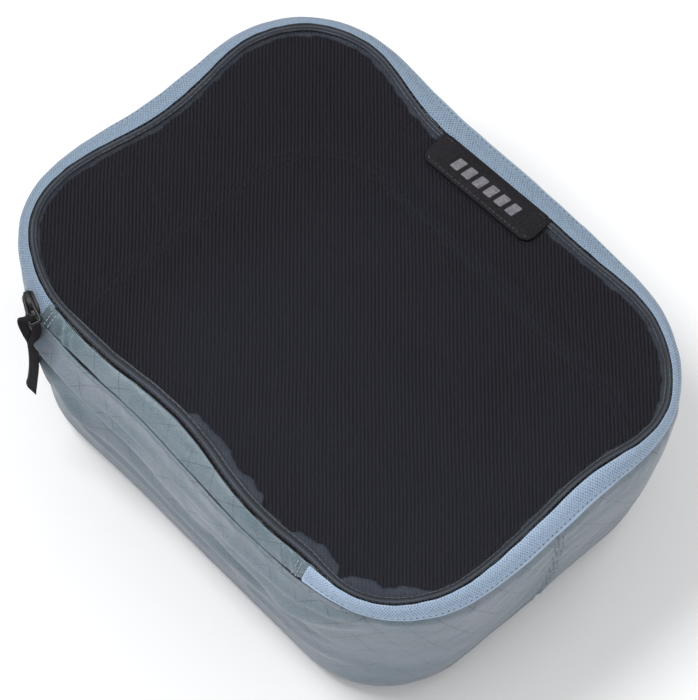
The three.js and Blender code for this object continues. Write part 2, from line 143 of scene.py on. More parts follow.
def closing(values):
    """The values with the first repeated at the end."""
    return np.concatenate([values, values[:1]])


def arc_lengths(points):
    return np.r_[0, np.cumsum(np.linalg.norm(np.diff(points, axis=0), axis=1))]


def interp_rows(places, knots, rows):
    return np.stack([np.interp(places, knots, column) for column in rows.T], 1)


def gaussian(offsets):
    kernel = np.exp(-0.5 * offsets ** 2)
    return kernel / kernel.sum()


def convolve_rows(rows, kernel):
    return np.stack([np.convolve(column, kernel, "valid") for column in rows.T], 1)


def periodic_blur(values, sigma):
    reach = 3 * sigma
    rows = values.reshape(len(values), -1)
    padded = np.concatenate([rows[-reach:], rows, rows[:reach]])
    kernel = gaussian(np.arange(-reach, reach + 1) / sigma)
    return convolve_rows(padded, kernel).reshape(values.shape)


def even_loop(points, count):
    """Closed polyline as evenly spaced points, with its length."""
    closed = closing(points)
    knots = arc_lengths(closed)
    places = np.linspace(0, knots[-1], count, endpoint=False)
    return interp_rows(places, knots, closed), knots[-1]


def resample_loop(points, count, sigma):
    """Closed polyline as evenly spaced, smoothed points, with its length."""
    loop, length = even_loop(np.array(points, float), 4096)
    step = length / 4096
    reach = int(4 * sigma / step) + 1
    kernel = gaussian(np.arange(-reach, reach + 1) * step / sigma)
    padded = np.vstack([loop[-reach:], loop, loop[:reach]])
    return even_loop(convolve_rows(padded, kernel), count)


def smooth_path(points, count, sigma):
    """Open polyline as evenly spaced, smoothed points."""
    points = np.array(points, float)
    knots = arc_lengths(points)
    path = interp_rows(np.linspace(0, knots[-1], 600), knots, points)
    steps = max(1, int(sigma / (knots[-1] / 600)))
    reach = 3 * steps
    before = 2 * path[0] - path[reach:0:-1]
    after = 2 * path[-1] - path[-2:-reach - 2:-1]
    kernel = gaussian(np.arange(-reach, reach + 1) / steps)
    path = convolve_rows(np.vstack([before, path, after]), kernel)
    knots = arc_lengths(path)
    return interp_rows(np.linspace(0, knots[-1], count), knots, path)


PERMUTATION = np.random.RandomState(11).permutation(4096)
GRADIENTS = unit(np.random.RandomState(12).normal(size=(4096, 3)))


def noise3(x, y, z, seed):
    """Gradient noise, about -0.7..0.7."""
    points = np.stack(np.broadcast_arrays(x, y, z), -1)
    cell = np.floor(points).astype(np.int64)
    frac = points - cell
    ease = frac * frac * frac * (frac * (frac * 6 - 15) + 10)
    total = 0
    for corner in np.ndindex(2, 2, 2):
        key = seed * 17
        for axis in range(3):
            key = PERMUTATION[(cell[..., axis] + corner[axis] + key) & 4095]
        part = GRADIENTS[key] * (frac - corner)
        weight = np.where(corner, ease, 1 - ease).prod(-1)
        total = total + weight * (part[..., 0] + part[..., 1] + part[..., 2])
    return total


def noise2(x, y, seed):
    return noise3(x, y, 0.37 + seed * 3.1, seed)


def rounded_outline(half_width, front, back, radii, steps):
    """Rectangle with rounded corners, anticlockwise from the front right corner."""
    points = []
    signs = ((1, -1), (1, 1), (-1, 1), (-1, -1))
    for corner, ((side, end), radius) in enumerate(zip(signs, radii)):
        x = side * (half_width - radius)
        y = back - radius if end > 0 else front + radius
        for degrees in np.linspace(90 * corner - 90, 90 * corner, steps):
            turn = math.radians(degrees)
            points.append((x + radius * math.cos(turn), y + radius * math.sin(turn)))
    return np.array(points)


def closed_section(low, high, top_count, under_count):
    """Values across a strip and back underneath, and which of them are on top."""
    under = np.linspace(high, low, under_count)[1:-1]
    values = np.r_[np.linspace(low, high, top_count), under]
    return values, np.arange(len(values)) < top_count


# ------------------------------------------------------------------ mesh helpers
COLLECTION = bpy.context.scene.collection


def build(name, points, faces, material, uv):
    """Smooth mesh object; uv holds one pair per face corner."""
    mesh = bpy.data.meshes.new(name)
    points = np.asarray(points, float) * MM
    mesh.from_pydata(points.tolist(), [], [list(map(int, face)) for face in faces])
    layer = mesh.uv_layers.new(name="UVMap")
    layer.data.foreach_set("uv", np.asarray(uv, np.float32).ravel())
    mesh.polygons.foreach_set("use_smooth", np.ones(len(mesh.polygons), bool))
    mesh.materials.append(material)
    mesh.validate(clean_customdata=False)
    mesh.update()
    piece = bpy.data.objects.new(name, mesh)
    COLLECTION.objects.link(piece)
    return piece


def quads(grid):
    """The four corners of every cell of a grid."""
    corners = np.stack([grid[:-1, :-1], grid[1:, :-1], grid[1:, 1:], grid[:-1, 1:]], 2)
    return corners.reshape(-1, 4, *grid.shape[2:])


def stacked_faces(levels, around, order=(0, 1, 2, 3)):
    """Faces of stacked rings, capped at both ends; order is each quad's corner order."""
    index = np.arange(levels * around).reshape(levels, around)
    sides = quads(np.hstack([index, index[:, :1]]))[:, order]
    return [*sides.tolist(), index[0, ::-1].tolist(), index[-1].tolist()]


def tube(name, grid, material, u, v, closed=False):
    """Swept closed section, capped unless its path closes; v has one value more than the section."""
    levels, around = grid.shape[:2]
    uv = quads(np.stack(np.meshgrid(u, v, indexing="ij"), -1)).reshape(-1, 2)
    if closed:
        index = np.arange(levels * around).reshape(levels, around)
        faces = quads(closing(np.hstack([index, index[:, :1]])))
    else:
        faces = stacked_faces(levels, around)
        rim_v = v[:around]
        uv = np.vstack([uv, np.stack([np.full(around, u[0]), rim_v[::-1]], 1),
                        np.stack([np.full(around, u[-1]), rim_v], 1)])
    return build(name, grid.reshape(-1, 3), faces, material, uv)


def shell(name, grid, thickness, material, u, v, inner_material=None):
    """Sheet with this outer surface and thickness against its normals, closed all round."""
    normals = unit(np.cross(np.gradient(grid, axis=0), np.gradient(grid, axis=1)))
    inner = grid - normals * (np.zeros(grid.shape[:2]) + thickness)[..., None]
    index = np.arange(u.size).reshape(u.shape)

    def skirt(edge):
        return np.stack([edge[:-1], u.size + edge[:-1], u.size + edge[1:], edge[1:]], 1)

    outside = quads(index)
    faces = np.vstack([outside, outside[:, ::-1] + u.size,
                       skirt(index[:, 0]), skirt(index[:, -1])[:, ::-1],
                       skirt(index[0])[:, ::-1], skirt(index[-1])])
    uv = np.stack([u, v], -1).reshape(-1, 2)[faces.ravel() % u.size]
    points = np.vstack([grid.reshape(-1, 3), inner.reshape(-1, 3)])
    piece = build(name, points, faces, material, uv)
    if inner_material is not None:
        piece.data.materials.append(inner_material)
        slots = np.zeros(len(piece.data.polygons), np.int32)
        slots[len(outside):2 * len(outside)] = 1
        piece.data.polygons.foreach_set("material_index", slots)
    return piece


def axes_from(along, up):
    x = unit(np.asarray(along, float))
    y = unit(np.cross(up, x))
    return x, y, np.cross(x, y)


def placer(origin, along, up):
    """A function from local mm to the case's mm."""
    axes = axes_from(along, unit(np.array(up, float)))
    return lambda local: origin + sum(local[:, k:k + 1] * axes[k] for k in range(3))


def stitches(name, length, radius, flat, places, material):
    """Rounded rods with dipping ends, one per (point, direction, up), joined in one mesh."""
    rings, around = 3, 8
    tip = math.pi / 2 * (np.arange(rings + 1) + 0.35) / (rings + 0.35)
    x = -length / 2 + radius * (1 - np.cos(tip)) * 1.2
    x = np.r_[x, -x[::-1]][:, None]
    ring = radius * np.sin(tip)
    ring = np.r_[ring, ring[::-1]][:, None]
    turn = turn_angles(around)
    z = ring * np.sin(turn) * flat - 0.05 * (2 * x / length) ** 2
    rod = np.stack(np.broadcast_arrays(x, ring * np.cos(turn), z), -1).reshape(-1, 3)
    rod_faces = stacked_faces(2 * rings + 2, around, order=(1, 2, 3, 0))
    corners = [corner for face in rod_faces for corner in face]
    uv = np.stack([rod[:, 0], np.arctan2(rod[:, 2], rod[:, 1])], 1)[corners]
    points, faces = [], []
    for k, (point, along, up) in enumerate(places):
        points.append(rod @ np.stack(axes_from(along, up)) + point)
        faces += [[corner + k * len(rod) for corner in face] for face in rod_faces]
    return build(name, np.vstack(points), faces, material, np.tile(uv, (len(points), 1)))


def sweep(name, path, section, up, material, closed=False):
    """Section carried along a path; up fixes the section's second axis."""
    if closed:
        tangent = unit(np.roll(path, -1, 0) - np.roll(path, 1, 0))
    else:
        tangent = unit(np.gradient(path, axis=0))
    up = np.broadcast_to(up, path.shape)
    second = unit(up - (up * tangent).sum(1)[:, None] * tangent)
    first = np.cross(second, tangent)
    grid = path[:, None] + section[:, :1] * first[:, None] + section[:, 1:] * second[:, None]
    u = arc_lengths(closing(path) if closed else path)
    v = arc_lengths(closing(section))
    return tube(name, grid[:, ::-1], material, u, v[::-1], closed)


def oval_section(half_width, half_height, count, power):
    """Superellipse: an ellipse at power 2, squarer above it."""
    turn = turn_angles(count)
    return np.stack([half_width * signed_power(np.cos(turn), 2 / power),
                     half_height * signed_power(np.sin(turn), 2 / power)], 1)


def slab(name, outline, bottom, top, bevel, place, material, warp=None):
    """Plate with rounded edges from a convex outline; place maps local mm to the case's."""
    along = unit(np.roll(outline, -1, 0) - np.roll(outline, 1, 0))
    outward = np.stack([along[:, 1], -along[:, 0]], 1)
    shrunk, centre = outline - outward * bevel, outline.mean(0)

    def layer(points, z):
        return np.column_stack([points, np.full(len(outline), z)])

    def face_layers(shares, z):
        return [layer(shrunk * (1 - share) + centre * share, z) for share in shares]

    turns = [math.pi / 2 * k / 4 for k in range(5)]
    shares = [0.25, 0.5, 0.75, 0.93]
    layers = face_layers(shares[::-1], bottom)
    for turn in turns:
        layers.append(layer(outline - outward * (bevel * (1 - math.sin(turn))),
                            bottom + bevel * (1 - math.cos(turn))))
    for turn in turns:
        layers.append(layer(outline - outward * (bevel * (1 - math.cos(turn))),
                            top - bevel * (1 - math.sin(turn))))
    grid = np.array(layers + face_layers(shares, top))
    if warp is not None:
        grid = warp(grid)
    faces = stacked_faces(*grid.shape[:2], order=(0, 3, 2, 1))
    local = grid.reshape(-1, 3)
    uv = local[[corner for face in faces for corner in face], :2]
    return build(name, place(local), faces, material, uv)


def patchwork(outline, nu, nv):
    """Grid filling a closed outline, its corners at the outline's own four corners."""
    corners = [int((outline[:, 0] * side * 0.76 + outline[:, 1] * end).argmax())
               for side, end in ((-1, -1), (1, -1), (1, 1), (-1, 1))]
    if corners[0] > corners[1]:
        corners[0] -= len(outline)
    corners.append(corners[0] + len(outline))

    def side(k, count):
        points = outline[np.arange(corners[k], corners[k + 1] + 1) % len(outline)]
        knots = arc_lengths(points)
        return interp_rows(np.linspace(0, knots[-1], count), knots, points)

    front, right = side(0, nu), side(1, nv)
    back, left = side(2, nu)[::-1], side(3, nv)[::-1]
    u = np.linspace(0, 1, nu)[:, None, None]
    v = np.linspace(0, 1, nv)[None, :, None]
    edges = (1 - v) * front[:, None] + v * back[:, None] + (1 - u) * left[None] + u * right[None]
    return edges - ((1 - u) * (1 - v) * front[0] + u * (1 - v) * front[-1]
                    + (1 - u) * v * back[0] + u * v * back[-1])


# ------------------------------------------------------------------ rim frame
RIM_COUNT = 1760
rim_outer, LOOP = resample_loop(OUTER_EDGE, RIM_COUNT, sigma=3.0)
ARC_STEP = LOOP / RIM_COUNT
ARC = np.arange(RIM_COUNT) * ARC_STEP


def match_loop(dense, blur):
    """Points of a dense loop nearest to those of the rim's outer edge, evened out."""
    count = len(dense)
    gap = ((rim_outer[:, None, :2] - dense[None, ::4, :2]) ** 2).sum(-1)
    index = np.unwrap(gap.argmin(1) * 4 / count * 2 * math.pi) / (2 * math.pi) * count
    index = np.maximum.accumulate(index)
    even = ARC / LOOP * count
    index = periodic_blur(index - even, blur) + even
    low = np.floor(index).astype(int)
    share = (index - low)[:, None]
    return dense[low % count] * (1 - share) + dense[(low + 1) % count] * share


def along_rim(values):
    """A function giving the values, one per rim point, at any arc."""
    def sample(arc):
        place = (np.asarray(arc, float) / ARC_STEP) % RIM_COUNT
        low = np.floor(place).astype(int) % RIM_COUNT
        share = place - np.floor(place)
        if values.ndim > 1:
            share = share[..., None]
        return values[low] * (1 - share) + values[(low + 1) % RIM_COUNT] * share
    return sample


dense_inner, _ = resample_loop([(x, y, INNER_Z) for x, y in INNER_EDGE], 6000, sigma=3.0)
rim_inner = match_loop(dense_inner, blur=9)
rim_tangent = unit(np.roll(rim_outer, -3, 0) - np.roll(rim_outer, 3, 0))
rim_across = unit(rim_inner - rim_outer)

outer_at = along_rim(rim_outer)
inner_at = along_rim(rim_inner)
width_at = along_rim(np.linalg.norm(rim_inner - rim_outer, axis=1))
tangent_at = along_rim(rim_tangent)
across_at = along_rim(rim_across)
normal_at = along_rim(unit(periodic_blur(np.cross(rim_tangent, rim_across), 3)))
inward_at = along_rim(unit(rim_across * [1, 1, 0]))     # level, towards the middle


def rim_point(arc, inset=0.0, over=0.0, height=0.0, share=None):
    """Point inset from the outer edge (or a share of the width), over past the inner edge."""
    arc, inset, over, height = np.broadcast_arrays(
        *(np.asarray(value, float) for value in (arc, inset, over, height)))
    outer, inner = outer_at(arc), inner_at(arc)
    if share is None:
        share = inset / width_at(arc)
    share = np.broadcast_to(share, arc.shape)
    level = smoothstep(-0.5, 2.0, over)[..., None]
    normal = unit(normal_at(arc) * (1 - level) + UP * level)
    way = np.where((over < 0)[..., None], unit(inner - outer), inward_at(arc))
    return (outer + (inner - outer) * share[..., None] + way * over[..., None]
            + normal * height[..., None])


def rim_offset(arc, inset, drop):
    """Point level inwards from the outer edge and straight below it."""
    inset, drop = np.asarray(inset)[..., None], np.asarray(drop)[..., None]
    return outer_at(arc) + inward_at(arc) * inset - UP * drop


def rim_noise(arc, scale, seed):
    """Noise along the rim; the loop closes because it is sampled on plan positions."""
    point = outer_at(arc)
    return noise3(point[..., 0] / scale, point[..., 1] / scale, 0.5, seed)


def arc_nearest(mask, axis, value):
    index = np.where(mask)[0]
    return ARC[index[np.abs(rim_outer[index, axis] - value).argmin()]]


def front_arc(x):
    """Arc of the front edge at this x: just past the start, or near the end of the loop."""
    half = ARC < LOOP / 2 if x > 0 else ARC > LOOP / 2
    return arc_nearest((rim_outer[:, 1] < -78) & half, 0, x)


def wrap_arc(arc):
    """Arc as a signed length, -LOOP/2..LOOP/2."""
    return (arc + LOOP / 2) % LOOP - LOOP / 2


FLAP_LEFT, FLAP_RIGHT = map(front_arc, FLAP_X)
ZIP_LEFT, ZIP_RIGHT = map(front_arc, ZIP_X)
SEAM_RIGHT = arc_nearest(rim_outer[:, 0] > 100, 1, SEAM_Y)
SEAM_LEFT = arc_nearest(rim_outer[:, 0] < -100, 1, SEAM_Y)


# ------------------------------------------------------------------ attaching pieces
def attach(piece, slot, *replaced, rides="shell"):
    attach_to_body(piece, rides)
    if replaced:
        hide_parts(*replaced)


def attach_lid(piece, slot, *replaced):
    """Bake a piece's placement into its mesh and hide the parts it replaces."""
    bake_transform(piece)
    points = np.empty(len(piece.data.vertices) * 3, np.float32)
    piece.data.vertices.foreach_get("co", points)
    points = points.reshape(-1, 3) / MM
    if replaced:
        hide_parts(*replaced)


# ------------------------------------------------------------------ shader helpers
class Shader:
    """A material and short calls for the nodes in it. Object coordinates are in metres."""

    def __init__(self, name):
        self.material = bpy.data.materials.new(name)
        self.material.use_nodes = True
        self.tree = self.material.node_tree
        self.tree.nodes.clear()
        self.output = self.node("OutputMaterial")

    def node(self, kind, props=None, **inputs):
        node = self.tree.nodes.new("ShaderNode" + kind)
        for key, value in (props or {}).items():
            setattr(node, key, value)
        for key, value in inputs.items():
            self.feed(node.inputs[key.replace("_", " ")], value)
        return node

    def feed(self, socket, value):
        if isinstance(value, bpy.types.NodeSocket):
            self.tree.links.new(value, socket)
        else:
            socket.default_value = (*value, 1) if socket.type == "RGBA" else value

    def math(self, operation, a, b=0.0, c=0.0, clamp=False):
        node = self.node("Math", dict(operation=operation, use_clamp=clamp))
        for socket, value in zip(node.inputs, (a, b, c)):
            self.feed(socket, value)
        return node.outputs[0]

    def mul(self, a, b):
        return self.math("MULTIPLY", a, b)

    def add(self, a, b):
        return self.math("ADD", a, b)

    def mix(self, mask, under, over, mode="MIX"):
        props = dict(blend_type=mode)
        return self.node("MixRGB", props, Fac=mask, Color1=under, Color2=over).outputs[0]

    def tint(self, under, over, mask, amount):
        return self.mix(self.mul(mask, amount), under, over)

    def uv(self):
        uv = self.node("UVMap", dict(uv_map="UVMap")).outputs[0]
        return self.node("SeparateXYZ", Vector=uv).outputs[:2]

    def position(self):
        return self.node("TexCoord").outputs["Object"]

    def xyz(self):
        return self.node("SeparateXYZ", Vector=self.position()).outputs

    def noise(self, scale, detail=3.0, rough=0.55, vector=None):
        vector = self.position() if vector is None else vector
        return self.node("TexNoise", Vector=vector, Scale=scale, Detail=detail,
                         Roughness=rough).outputs["Fac"]

    def wave(self, value, pitch):
        """0..1 wave."""
        angle = self.math("MULTIPLY_ADD", value, 2 * math.pi / pitch, 0.0)
        return self.math("MULTIPLY_ADD", self.math("COSINE", angle), 0.5, 0.5)

    def sum(self, a, a_factor, b, b_factor):
        return self.add(self.math("MULTIPLY_ADD", a, a_factor, 0.0), self.mul(b, b_factor))

    def ramp(self, value, span, to=(0.0, 1.0)):
        """Smooth step: the span of values mapped to a low and a high result."""
        props = dict(clamp=True, interpolation_type="SMOOTHSTEP")
        return self.node("MapRange", props, Value=value, From_Min=span[0], From_Max=span[1],
                         To_Min=to[0], To_Max=to[1]).outputs[0]

    def bump(self, height, distance, strength, normal=None):
        node = self.node("Bump", Height=height, Distance=distance, Strength=strength)
        if normal is not None:
            self.feed(node.inputs["Normal"], normal)
        return node.outputs[0]

    def surface(self, colour, rough, normal, sheen=0.0, specular=0.5):
        return self.node("BsdfPrincipled", Base_Color=colour, Roughness=rough, Normal=normal,
                         Specular_IOR_Level=specular, Sheen_Weight=sheen).outputs[0]

    def finish(self, surface):
        self.feed(self.output.inputs[0], surface)
        return self.material


def srgb(*channels):
    return tuple(((c / 255 + 0.055) / 1.055) ** 2.4 if c > 10 else c / 255 / 12.92
                 for c in channels)


def scaled(colour, factor):
    return tuple(np.minimum(1, np.multiply(colour, factor)).tolist())


# ------------------------------------------------------------------ materials
FADE_OUT = (1.0, 0.0)


def ripstop(name, base, deep, line):
    """Cloth with two crossing sets of dashed lines, streaks of painted sheen and shade, and painted
    shade at the foot and behind the webbing; u, v in mm.
    """
    mat = Shader(name)
    u, v = mat.uv()
    warped_u = mat.math("MULTIPLY_ADD", mat.noise(scale=11.0, detail=2.0), 3.0, u)
    dash_pitch = 1.15
    lines = None
    for degrees, pitch in ((37.0, 12.6), (-60.0, 11.6)):
        cos, sin = math.cos(math.radians(degrees)), math.sin(math.radians(degrees))
        across = mat.sum(warped_u, -sin, v, cos)
        along = mat.sum(warped_u, cos, v, sin)
        phase = mat.math("FRACT", mat.math("DIVIDE", across, pitch))
        away = mat.math("ABSOLUTE", mat.math("SUBTRACT", phase, 0.5))
        near = mat.ramp(away, span=(0.010, 0.024), to=FADE_OUT)
        dash = mat.ramp(mat.wave(along, dash_pitch), span=(0.10, 0.60), to=(0.30, 1.0))
        worn = mat.ramp(mat.noise(scale=30.0, detail=2.0), span=(0.36, 0.56), to=(0.35, 1.0))
        one = mat.mul(mat.mul(near, dash), worn)
        lines = one if lines is None else mat.math("MAXIMUM", lines, one)
    thread_pitch = 0.44
    weave = mat.mul(mat.wave(u, thread_pitch), mat.wave(v, thread_pitch))
    cloud = mat.noise(scale=30.0, detail=4.0, rough=0.6)
    speck = mat.noise(scale=2300.0, rough=0.7)
    colour = mat.mix(mat.ramp(cloud, span=(0.34, 0.70)), deep, base)
    # painted sheen and shade: lighter and darker streaks, long in u, short in v
    stretched = mat.node("CombineXYZ", X=mat.mul(u, 0.016), Y=mat.mul(v, 0.075), Z=0.4)
    sheen_and_shade_streak = mat.noise(scale=1.0, rough=0.5, vector=stretched.outputs[0])
    colour = mat.mix(mat.ramp(sheen_and_shade_streak, span=(0.34, 0.54), to=(0.60, 0.0)), colour,
                     scaled(deep, (0.80, 0.95, 0.97)))
    colour = mat.mix(mat.ramp(sheen_and_shade_streak, span=(0.50, 0.68), to=(0.0, 0.38)), colour,
                     scaled(base, (1.30, 1.20, 1.26)))
    colour = mat.mix(mat.ramp(speck, span=(0.40, 0.66), to=(0.0, 0.55)), colour,
                     scaled(base, 1.35))
    colour = mat.mix(mat.ramp(speck, span=(0.34, 0.48), to=(0.35, 0.0)), colour,
                     scaled(deep, 0.62))
    colour = mat.tint(colour, scaled(deep, 0.6), weave, amount=0.14)
    colour = mat.tint(colour, line, lines, amount=0.66)
    # painted shade: darker towards the floor, most on the left
    x, y, z = mat.xyz()
    foot = mat.mul(mat.ramp(z, span=(0.031, 0.064), to=FADE_OUT),
                   mat.ramp(x, span=(0.030, 0.085), to=(1.0, 0.20)))
    colour = mat.mix(foot, colour, (0.42, 0.50, 0.60), mode="MULTIPLY")
    # painted shadow of the webbing, link and slider: a darker oval on the front wall behind the
    # webbing; centre, radius in x and z
    (shadow_x, radius_x), (shadow_z, radius_z) = (-0.077, 0.0135), (0.067, 0.019)
    webbing_shadow = mat.add(mat.math("POWER", mat.mul(mat.add(x, -shadow_x), 1 / radius_x), 2.0),
                   mat.math("POWER", mat.mul(mat.add(z, -shadow_z), 1 / radius_z), 2.0))
    webbing_shadow = mat.mul(mat.ramp(webbing_shadow, span=(0.15, 1.7), to=FADE_OUT),
                   mat.ramp(y, span=(-0.078, -0.070), to=FADE_OUT))
    colour = mat.mix(webbing_shadow, colour, (0.34, 0.39, 0.41), mode="MULTIPLY")
    relief = mat.add(mat.mul(weave, 0.3), mat.mul(lines, 0.8))
    normal = mat.bump(relief, distance=0.00010, strength=0.5)
    normal = mat.bump(mat.noise(scale=260.0, rough=0.6), distance=0.00040, strength=0.35,
                      normal=normal)
    rough = mat.ramp(mat.noise(scale=60.0), span=(0.3, 0.7), to=(0.40, 0.52))
    return mat.finish(mat.surface(colour, rough, normal, sheen=0.12))


def knit(name, base, shade):
    """Knitted band, with painted shade in the gaps between its loops and over its left and rear."""
    mat = Shader(name)
    u, v = mat.uv()
    along = mat.math("COSINE", mat.mul(u, 2 * math.pi / KNIT_PITCH))
    across = mat.math("COSINE", mat.mul(v, math.pi / KNIT_ROW))
    cells = mat.math("MULTIPLY_ADD", mat.mul(along, across), 0.5, 0.5)
    grain = mat.noise(scale=2600.0, detail=2.0)
    past_fold = mat.ramp(v, span=(1.5, 2.1))
    # cells broken up by noise centred on zero
    broken = mat.math("MULTIPLY_ADD", mat.noise(scale=1100.0, rough=0.7), 1.5, -0.75)
    # painted shade in the gaps between the loops, past the folded edge
    gap_shade = mat.ramp(mat.add(cells, broken), span=(0.05, 0.60), to=FADE_OUT)
    colour = mat.mix(mat.mul(gap_shade, past_fold), base, shade)
    blotch = mat.ramp(mat.noise(scale=45.0), span=(0.35, 0.7))
    colour = mat.tint(colour, scaled(base, 0.86), blotch, amount=0.35)
    colour = mat.tint(colour, scaled(base, 1.25), grain, amount=0.25)
    # painted shade: the band darker towards the left and the rear
    x, y, _ = mat.xyz()
    side = mat.math("MULTIPLY_ADD", y, -0.6, x)
    colour = mat.mix(mat.ramp(side, span=(-0.035, 0.150), to=FADE_OUT), colour,
                     (0.60, 0.61, 0.61), mode="MULTIPLY")
    relief = mat.add(mat.mul(grain, 0.5), cells)
    normal = mat.bump(relief, distance=0.00018, strength=0.5)
    return mat.finish(mat.surface(colour, 0.86, normal, sheen=0.25, specular=0.2))


def ribbed(name, base, light, pitch_u, pitch_v, slant, rough, edges=(), depth=0.0001,
           dark=None):
    """Ribbed tape. edges: (v, half width, colour) lines; dark: span of v fading from black."""
    mat = Shader(name)
    u, v = mat.uv()
    ribs = mat.mul(mat.wave(mat.sum(u, 1.0, v, slant), pitch_u), mat.wave(v, pitch_v))
    colour = mat.mix(ribs, base, light)
    for place, half, line in edges:
        away = mat.math("ABSOLUTE", mat.math("SUBTRACT", v, place))
        near = mat.ramp(away, span=(half, half * 2.2), to=FADE_OUT)
        colour = mat.tint(colour, line, near, amount=0.8)
    blotch = mat.ramp(mat.noise(scale=70.0), span=(0.35, 0.7))
    colour = mat.tint(colour, scaled(base, 0.72), blotch, amount=0.35)
    fuzz = mat.noise(scale=2400.0, detail=2.0)
    colour = mat.tint(colour, scaled(light, 1.6), fuzz, amount=0.22)
    if dark:
        colour = mat.mix(mat.ramp(v, span=dark, to=(0.85, 0.0)), colour, (0.006, 0.006, 0.008))
    relief = mat.add(mat.mul(mat.noise(scale=1500.0), 0.3), ribs)
    normal = mat.bump(relief, distance=depth, strength=0.7)
    return mat.finish(mat.surface(colour, rough, normal, sheen=0.05, specular=0.25))


def sheer(name):
    """See-through mesh with slanting ribs, denser along the ribs and threads."""
    mat = Shader(name)
    u, v = mat.uv()
    across = mat.sum(u, 0.669, v, 0.743)
    along = mat.sum(u, 0.743, v, -0.669)
    wavy = mat.math("MULTIPLY_ADD", mat.noise(scale=16.0, detail=2.0), 1.6, across)
    rib = mat.wave(wavy, pitch=1.42)
    fine = mat.ramp(mat.wave(across, pitch=0.50), span=(0.45, 0.8))
    rung = mat.ramp(mat.wave(along, pitch=0.62), span=(0.5, 0.85))
    thread = mat.math("MAXIMUM", fine, rung)
    colour = mat.tint(srgb(13, 12, 16), srgb(42, 40, 49), rib, amount=0.9)
    fuzz = mat.ramp(mat.noise(scale=1700.0, detail=2.0), span=(0.4, 0.65))
    colour = mat.tint(colour, srgb(54, 54, 64), fuzz, amount=0.35)
    patchy = mat.ramp(mat.noise(scale=22.0), span=(0.32, 0.72))
    colour = mat.tint(colour, srgb(34, 36, 43), patchy, amount=0.30)
    relief = mat.add(mat.mul(rib, 0.9), mat.mul(thread, 0.5))
    normal = mat.bump(relief, distance=0.00010, strength=0.6)
    # opacity: a base, plus the ribs, plus the threads
    opacity = mat.math("MULTIPLY_ADD", rib, 0.16, 0.20, clamp=True)
    opacity.node.use_clamp = False
    opacity = mat.math("MULTIPLY_ADD", thread, 0.20, opacity, clamp=True)
    clear = mat.node("BsdfTransparent", Color=srgb(236, 237, 242))
    blend = mat.node("MixShader", Fac=opacity)
    mat.feed(blend.inputs[1], clear.outputs[0])
    mat.feed(blend.inputs[2], mat.surface(colour, 0.62, normal, specular=0.2))
    return mat.finish(blend.outputs[0])


def metal(name):
    """Black metal, rubbed paler on its raised edges."""
    mat = Shader(name)
    fine, cloud = mat.noise(scale=900.0, detail=4.0), mat.noise(scale=160.0)
    raised = mat.ramp(mat.node("NewGeometry").outputs["Pointiness"], span=(0.53, 0.60))
    wear = mat.mul(raised, mat.ramp(fine, span=(0.35, 0.65)))
    colour = mat.mix(mat.ramp(cloud, span=(0.3, 0.7)), srgb(11, 10, 12), srgb(22, 20, 23))
    colour = mat.tint(colour, srgb(84, 79, 80), wear, amount=0.14)
    rough = mat.ramp(cloud, span=(0.3, 0.7), to=(0.30, 0.44))
    normal = mat.bump(fine, distance=0.00003, strength=0.3)
    return mat.finish(mat.surface(colour, rough, normal, specular=0.30))


def plastic(name, base):
    mat = Shader(name)
    fine = mat.noise(scale=700.0)
    cloud = mat.ramp(mat.noise(scale=120.0), span=(0.3, 0.7))
    colour = mat.mix(cloud, base, scaled(base, 1.5))
    rough = mat.ramp(fine, span=(0.3, 0.7), to=(0.34, 0.5))
    normal = mat.bump(fine, distance=0.00004, strength=0.4)
    return mat.finish(mat.surface(colour, rough, normal))


def webbing_weave(name):
    """Herringbone weave: ribs across v, slanting one way and then the other."""
    mat = Shader(name)
    u, v = mat.uv()
    rib_pitch = 0.62
    rib = mat.wave(v, rib_pitch)
    phase = mat.math("FRACT", mat.math("DIVIDE", v, 2 * rib_pitch))
    zigzag = mat.math("ABSOLUTE", mat.math("SUBTRACT", phase, 0.5))
    weave = mat.mul(rib, mat.wave(mat.sum(u, 1.0, zigzag, 1.1), pitch=0.72))
    colour = mat.mix(weave, srgb(12, 11, 13), srgb(38, 35, 40))
    colour = mat.tint(colour, srgb(56, 52, 58), mat.noise(scale=1500.0), amount=0.25)
    relief = mat.add(weave, mat.mul(mat.noise(scale=2500.0), 0.3))
    normal = mat.bump(relief, distance=0.00016, strength=0.8)
    return mat.finish(mat.surface(colour, 0.72, normal, specular=0.22))


def patch_skin(name):
    """Pebbled dark skin."""
    mat = Shader(name)
    cells = mat.node("TexVoronoi", dict(feature="DISTANCE_TO_EDGE"), Vector=mat.position(),
                     Scale=900.0)
    grain = mat.ramp(cells.outputs["Distance"], span=(0.0, 0.28))
    colour = mat.mix(grain, srgb(9, 8, 11), srgb(22, 19, 26))
    blotch = mat.ramp(mat.noise(scale=60.0), span=(0.4, 0.7))
    colour = mat.tint(colour, srgb(29, 25, 34), blotch, amount=0.4)
    rough = mat.ramp(grain, span=(0, 1), to=(0.70, 0.52))
    relief = mat.add(grain, mat.mul(mat.noise(scale=500.0), 0.5))
    normal = mat.bump(relief, distance=0.00012, strength=0.7)
    return mat.finish(mat.surface(colour, rough, normal, specular=0.22))


def patch_print(name):
    mat = Shader(name)
    fine = mat.noise(scale=1100.0)
    colour = mat.mix(mat.ramp(fine, span=(0.3, 0.7)), srgb(98, 96, 103), srgb(122, 119, 126))
    worn = mat.ramp(mat.noise(scale=350.0, detail=4.0), span=(0.56, 0.68))
    colour = mat.tint(colour, srgb(62, 60, 66), worn, amount=0.6)
    normal = mat.bump(fine, distance=0.00005, strength=0.5)
    return mat.finish(mat.surface(colour, 0.5, normal, specular=0.35))


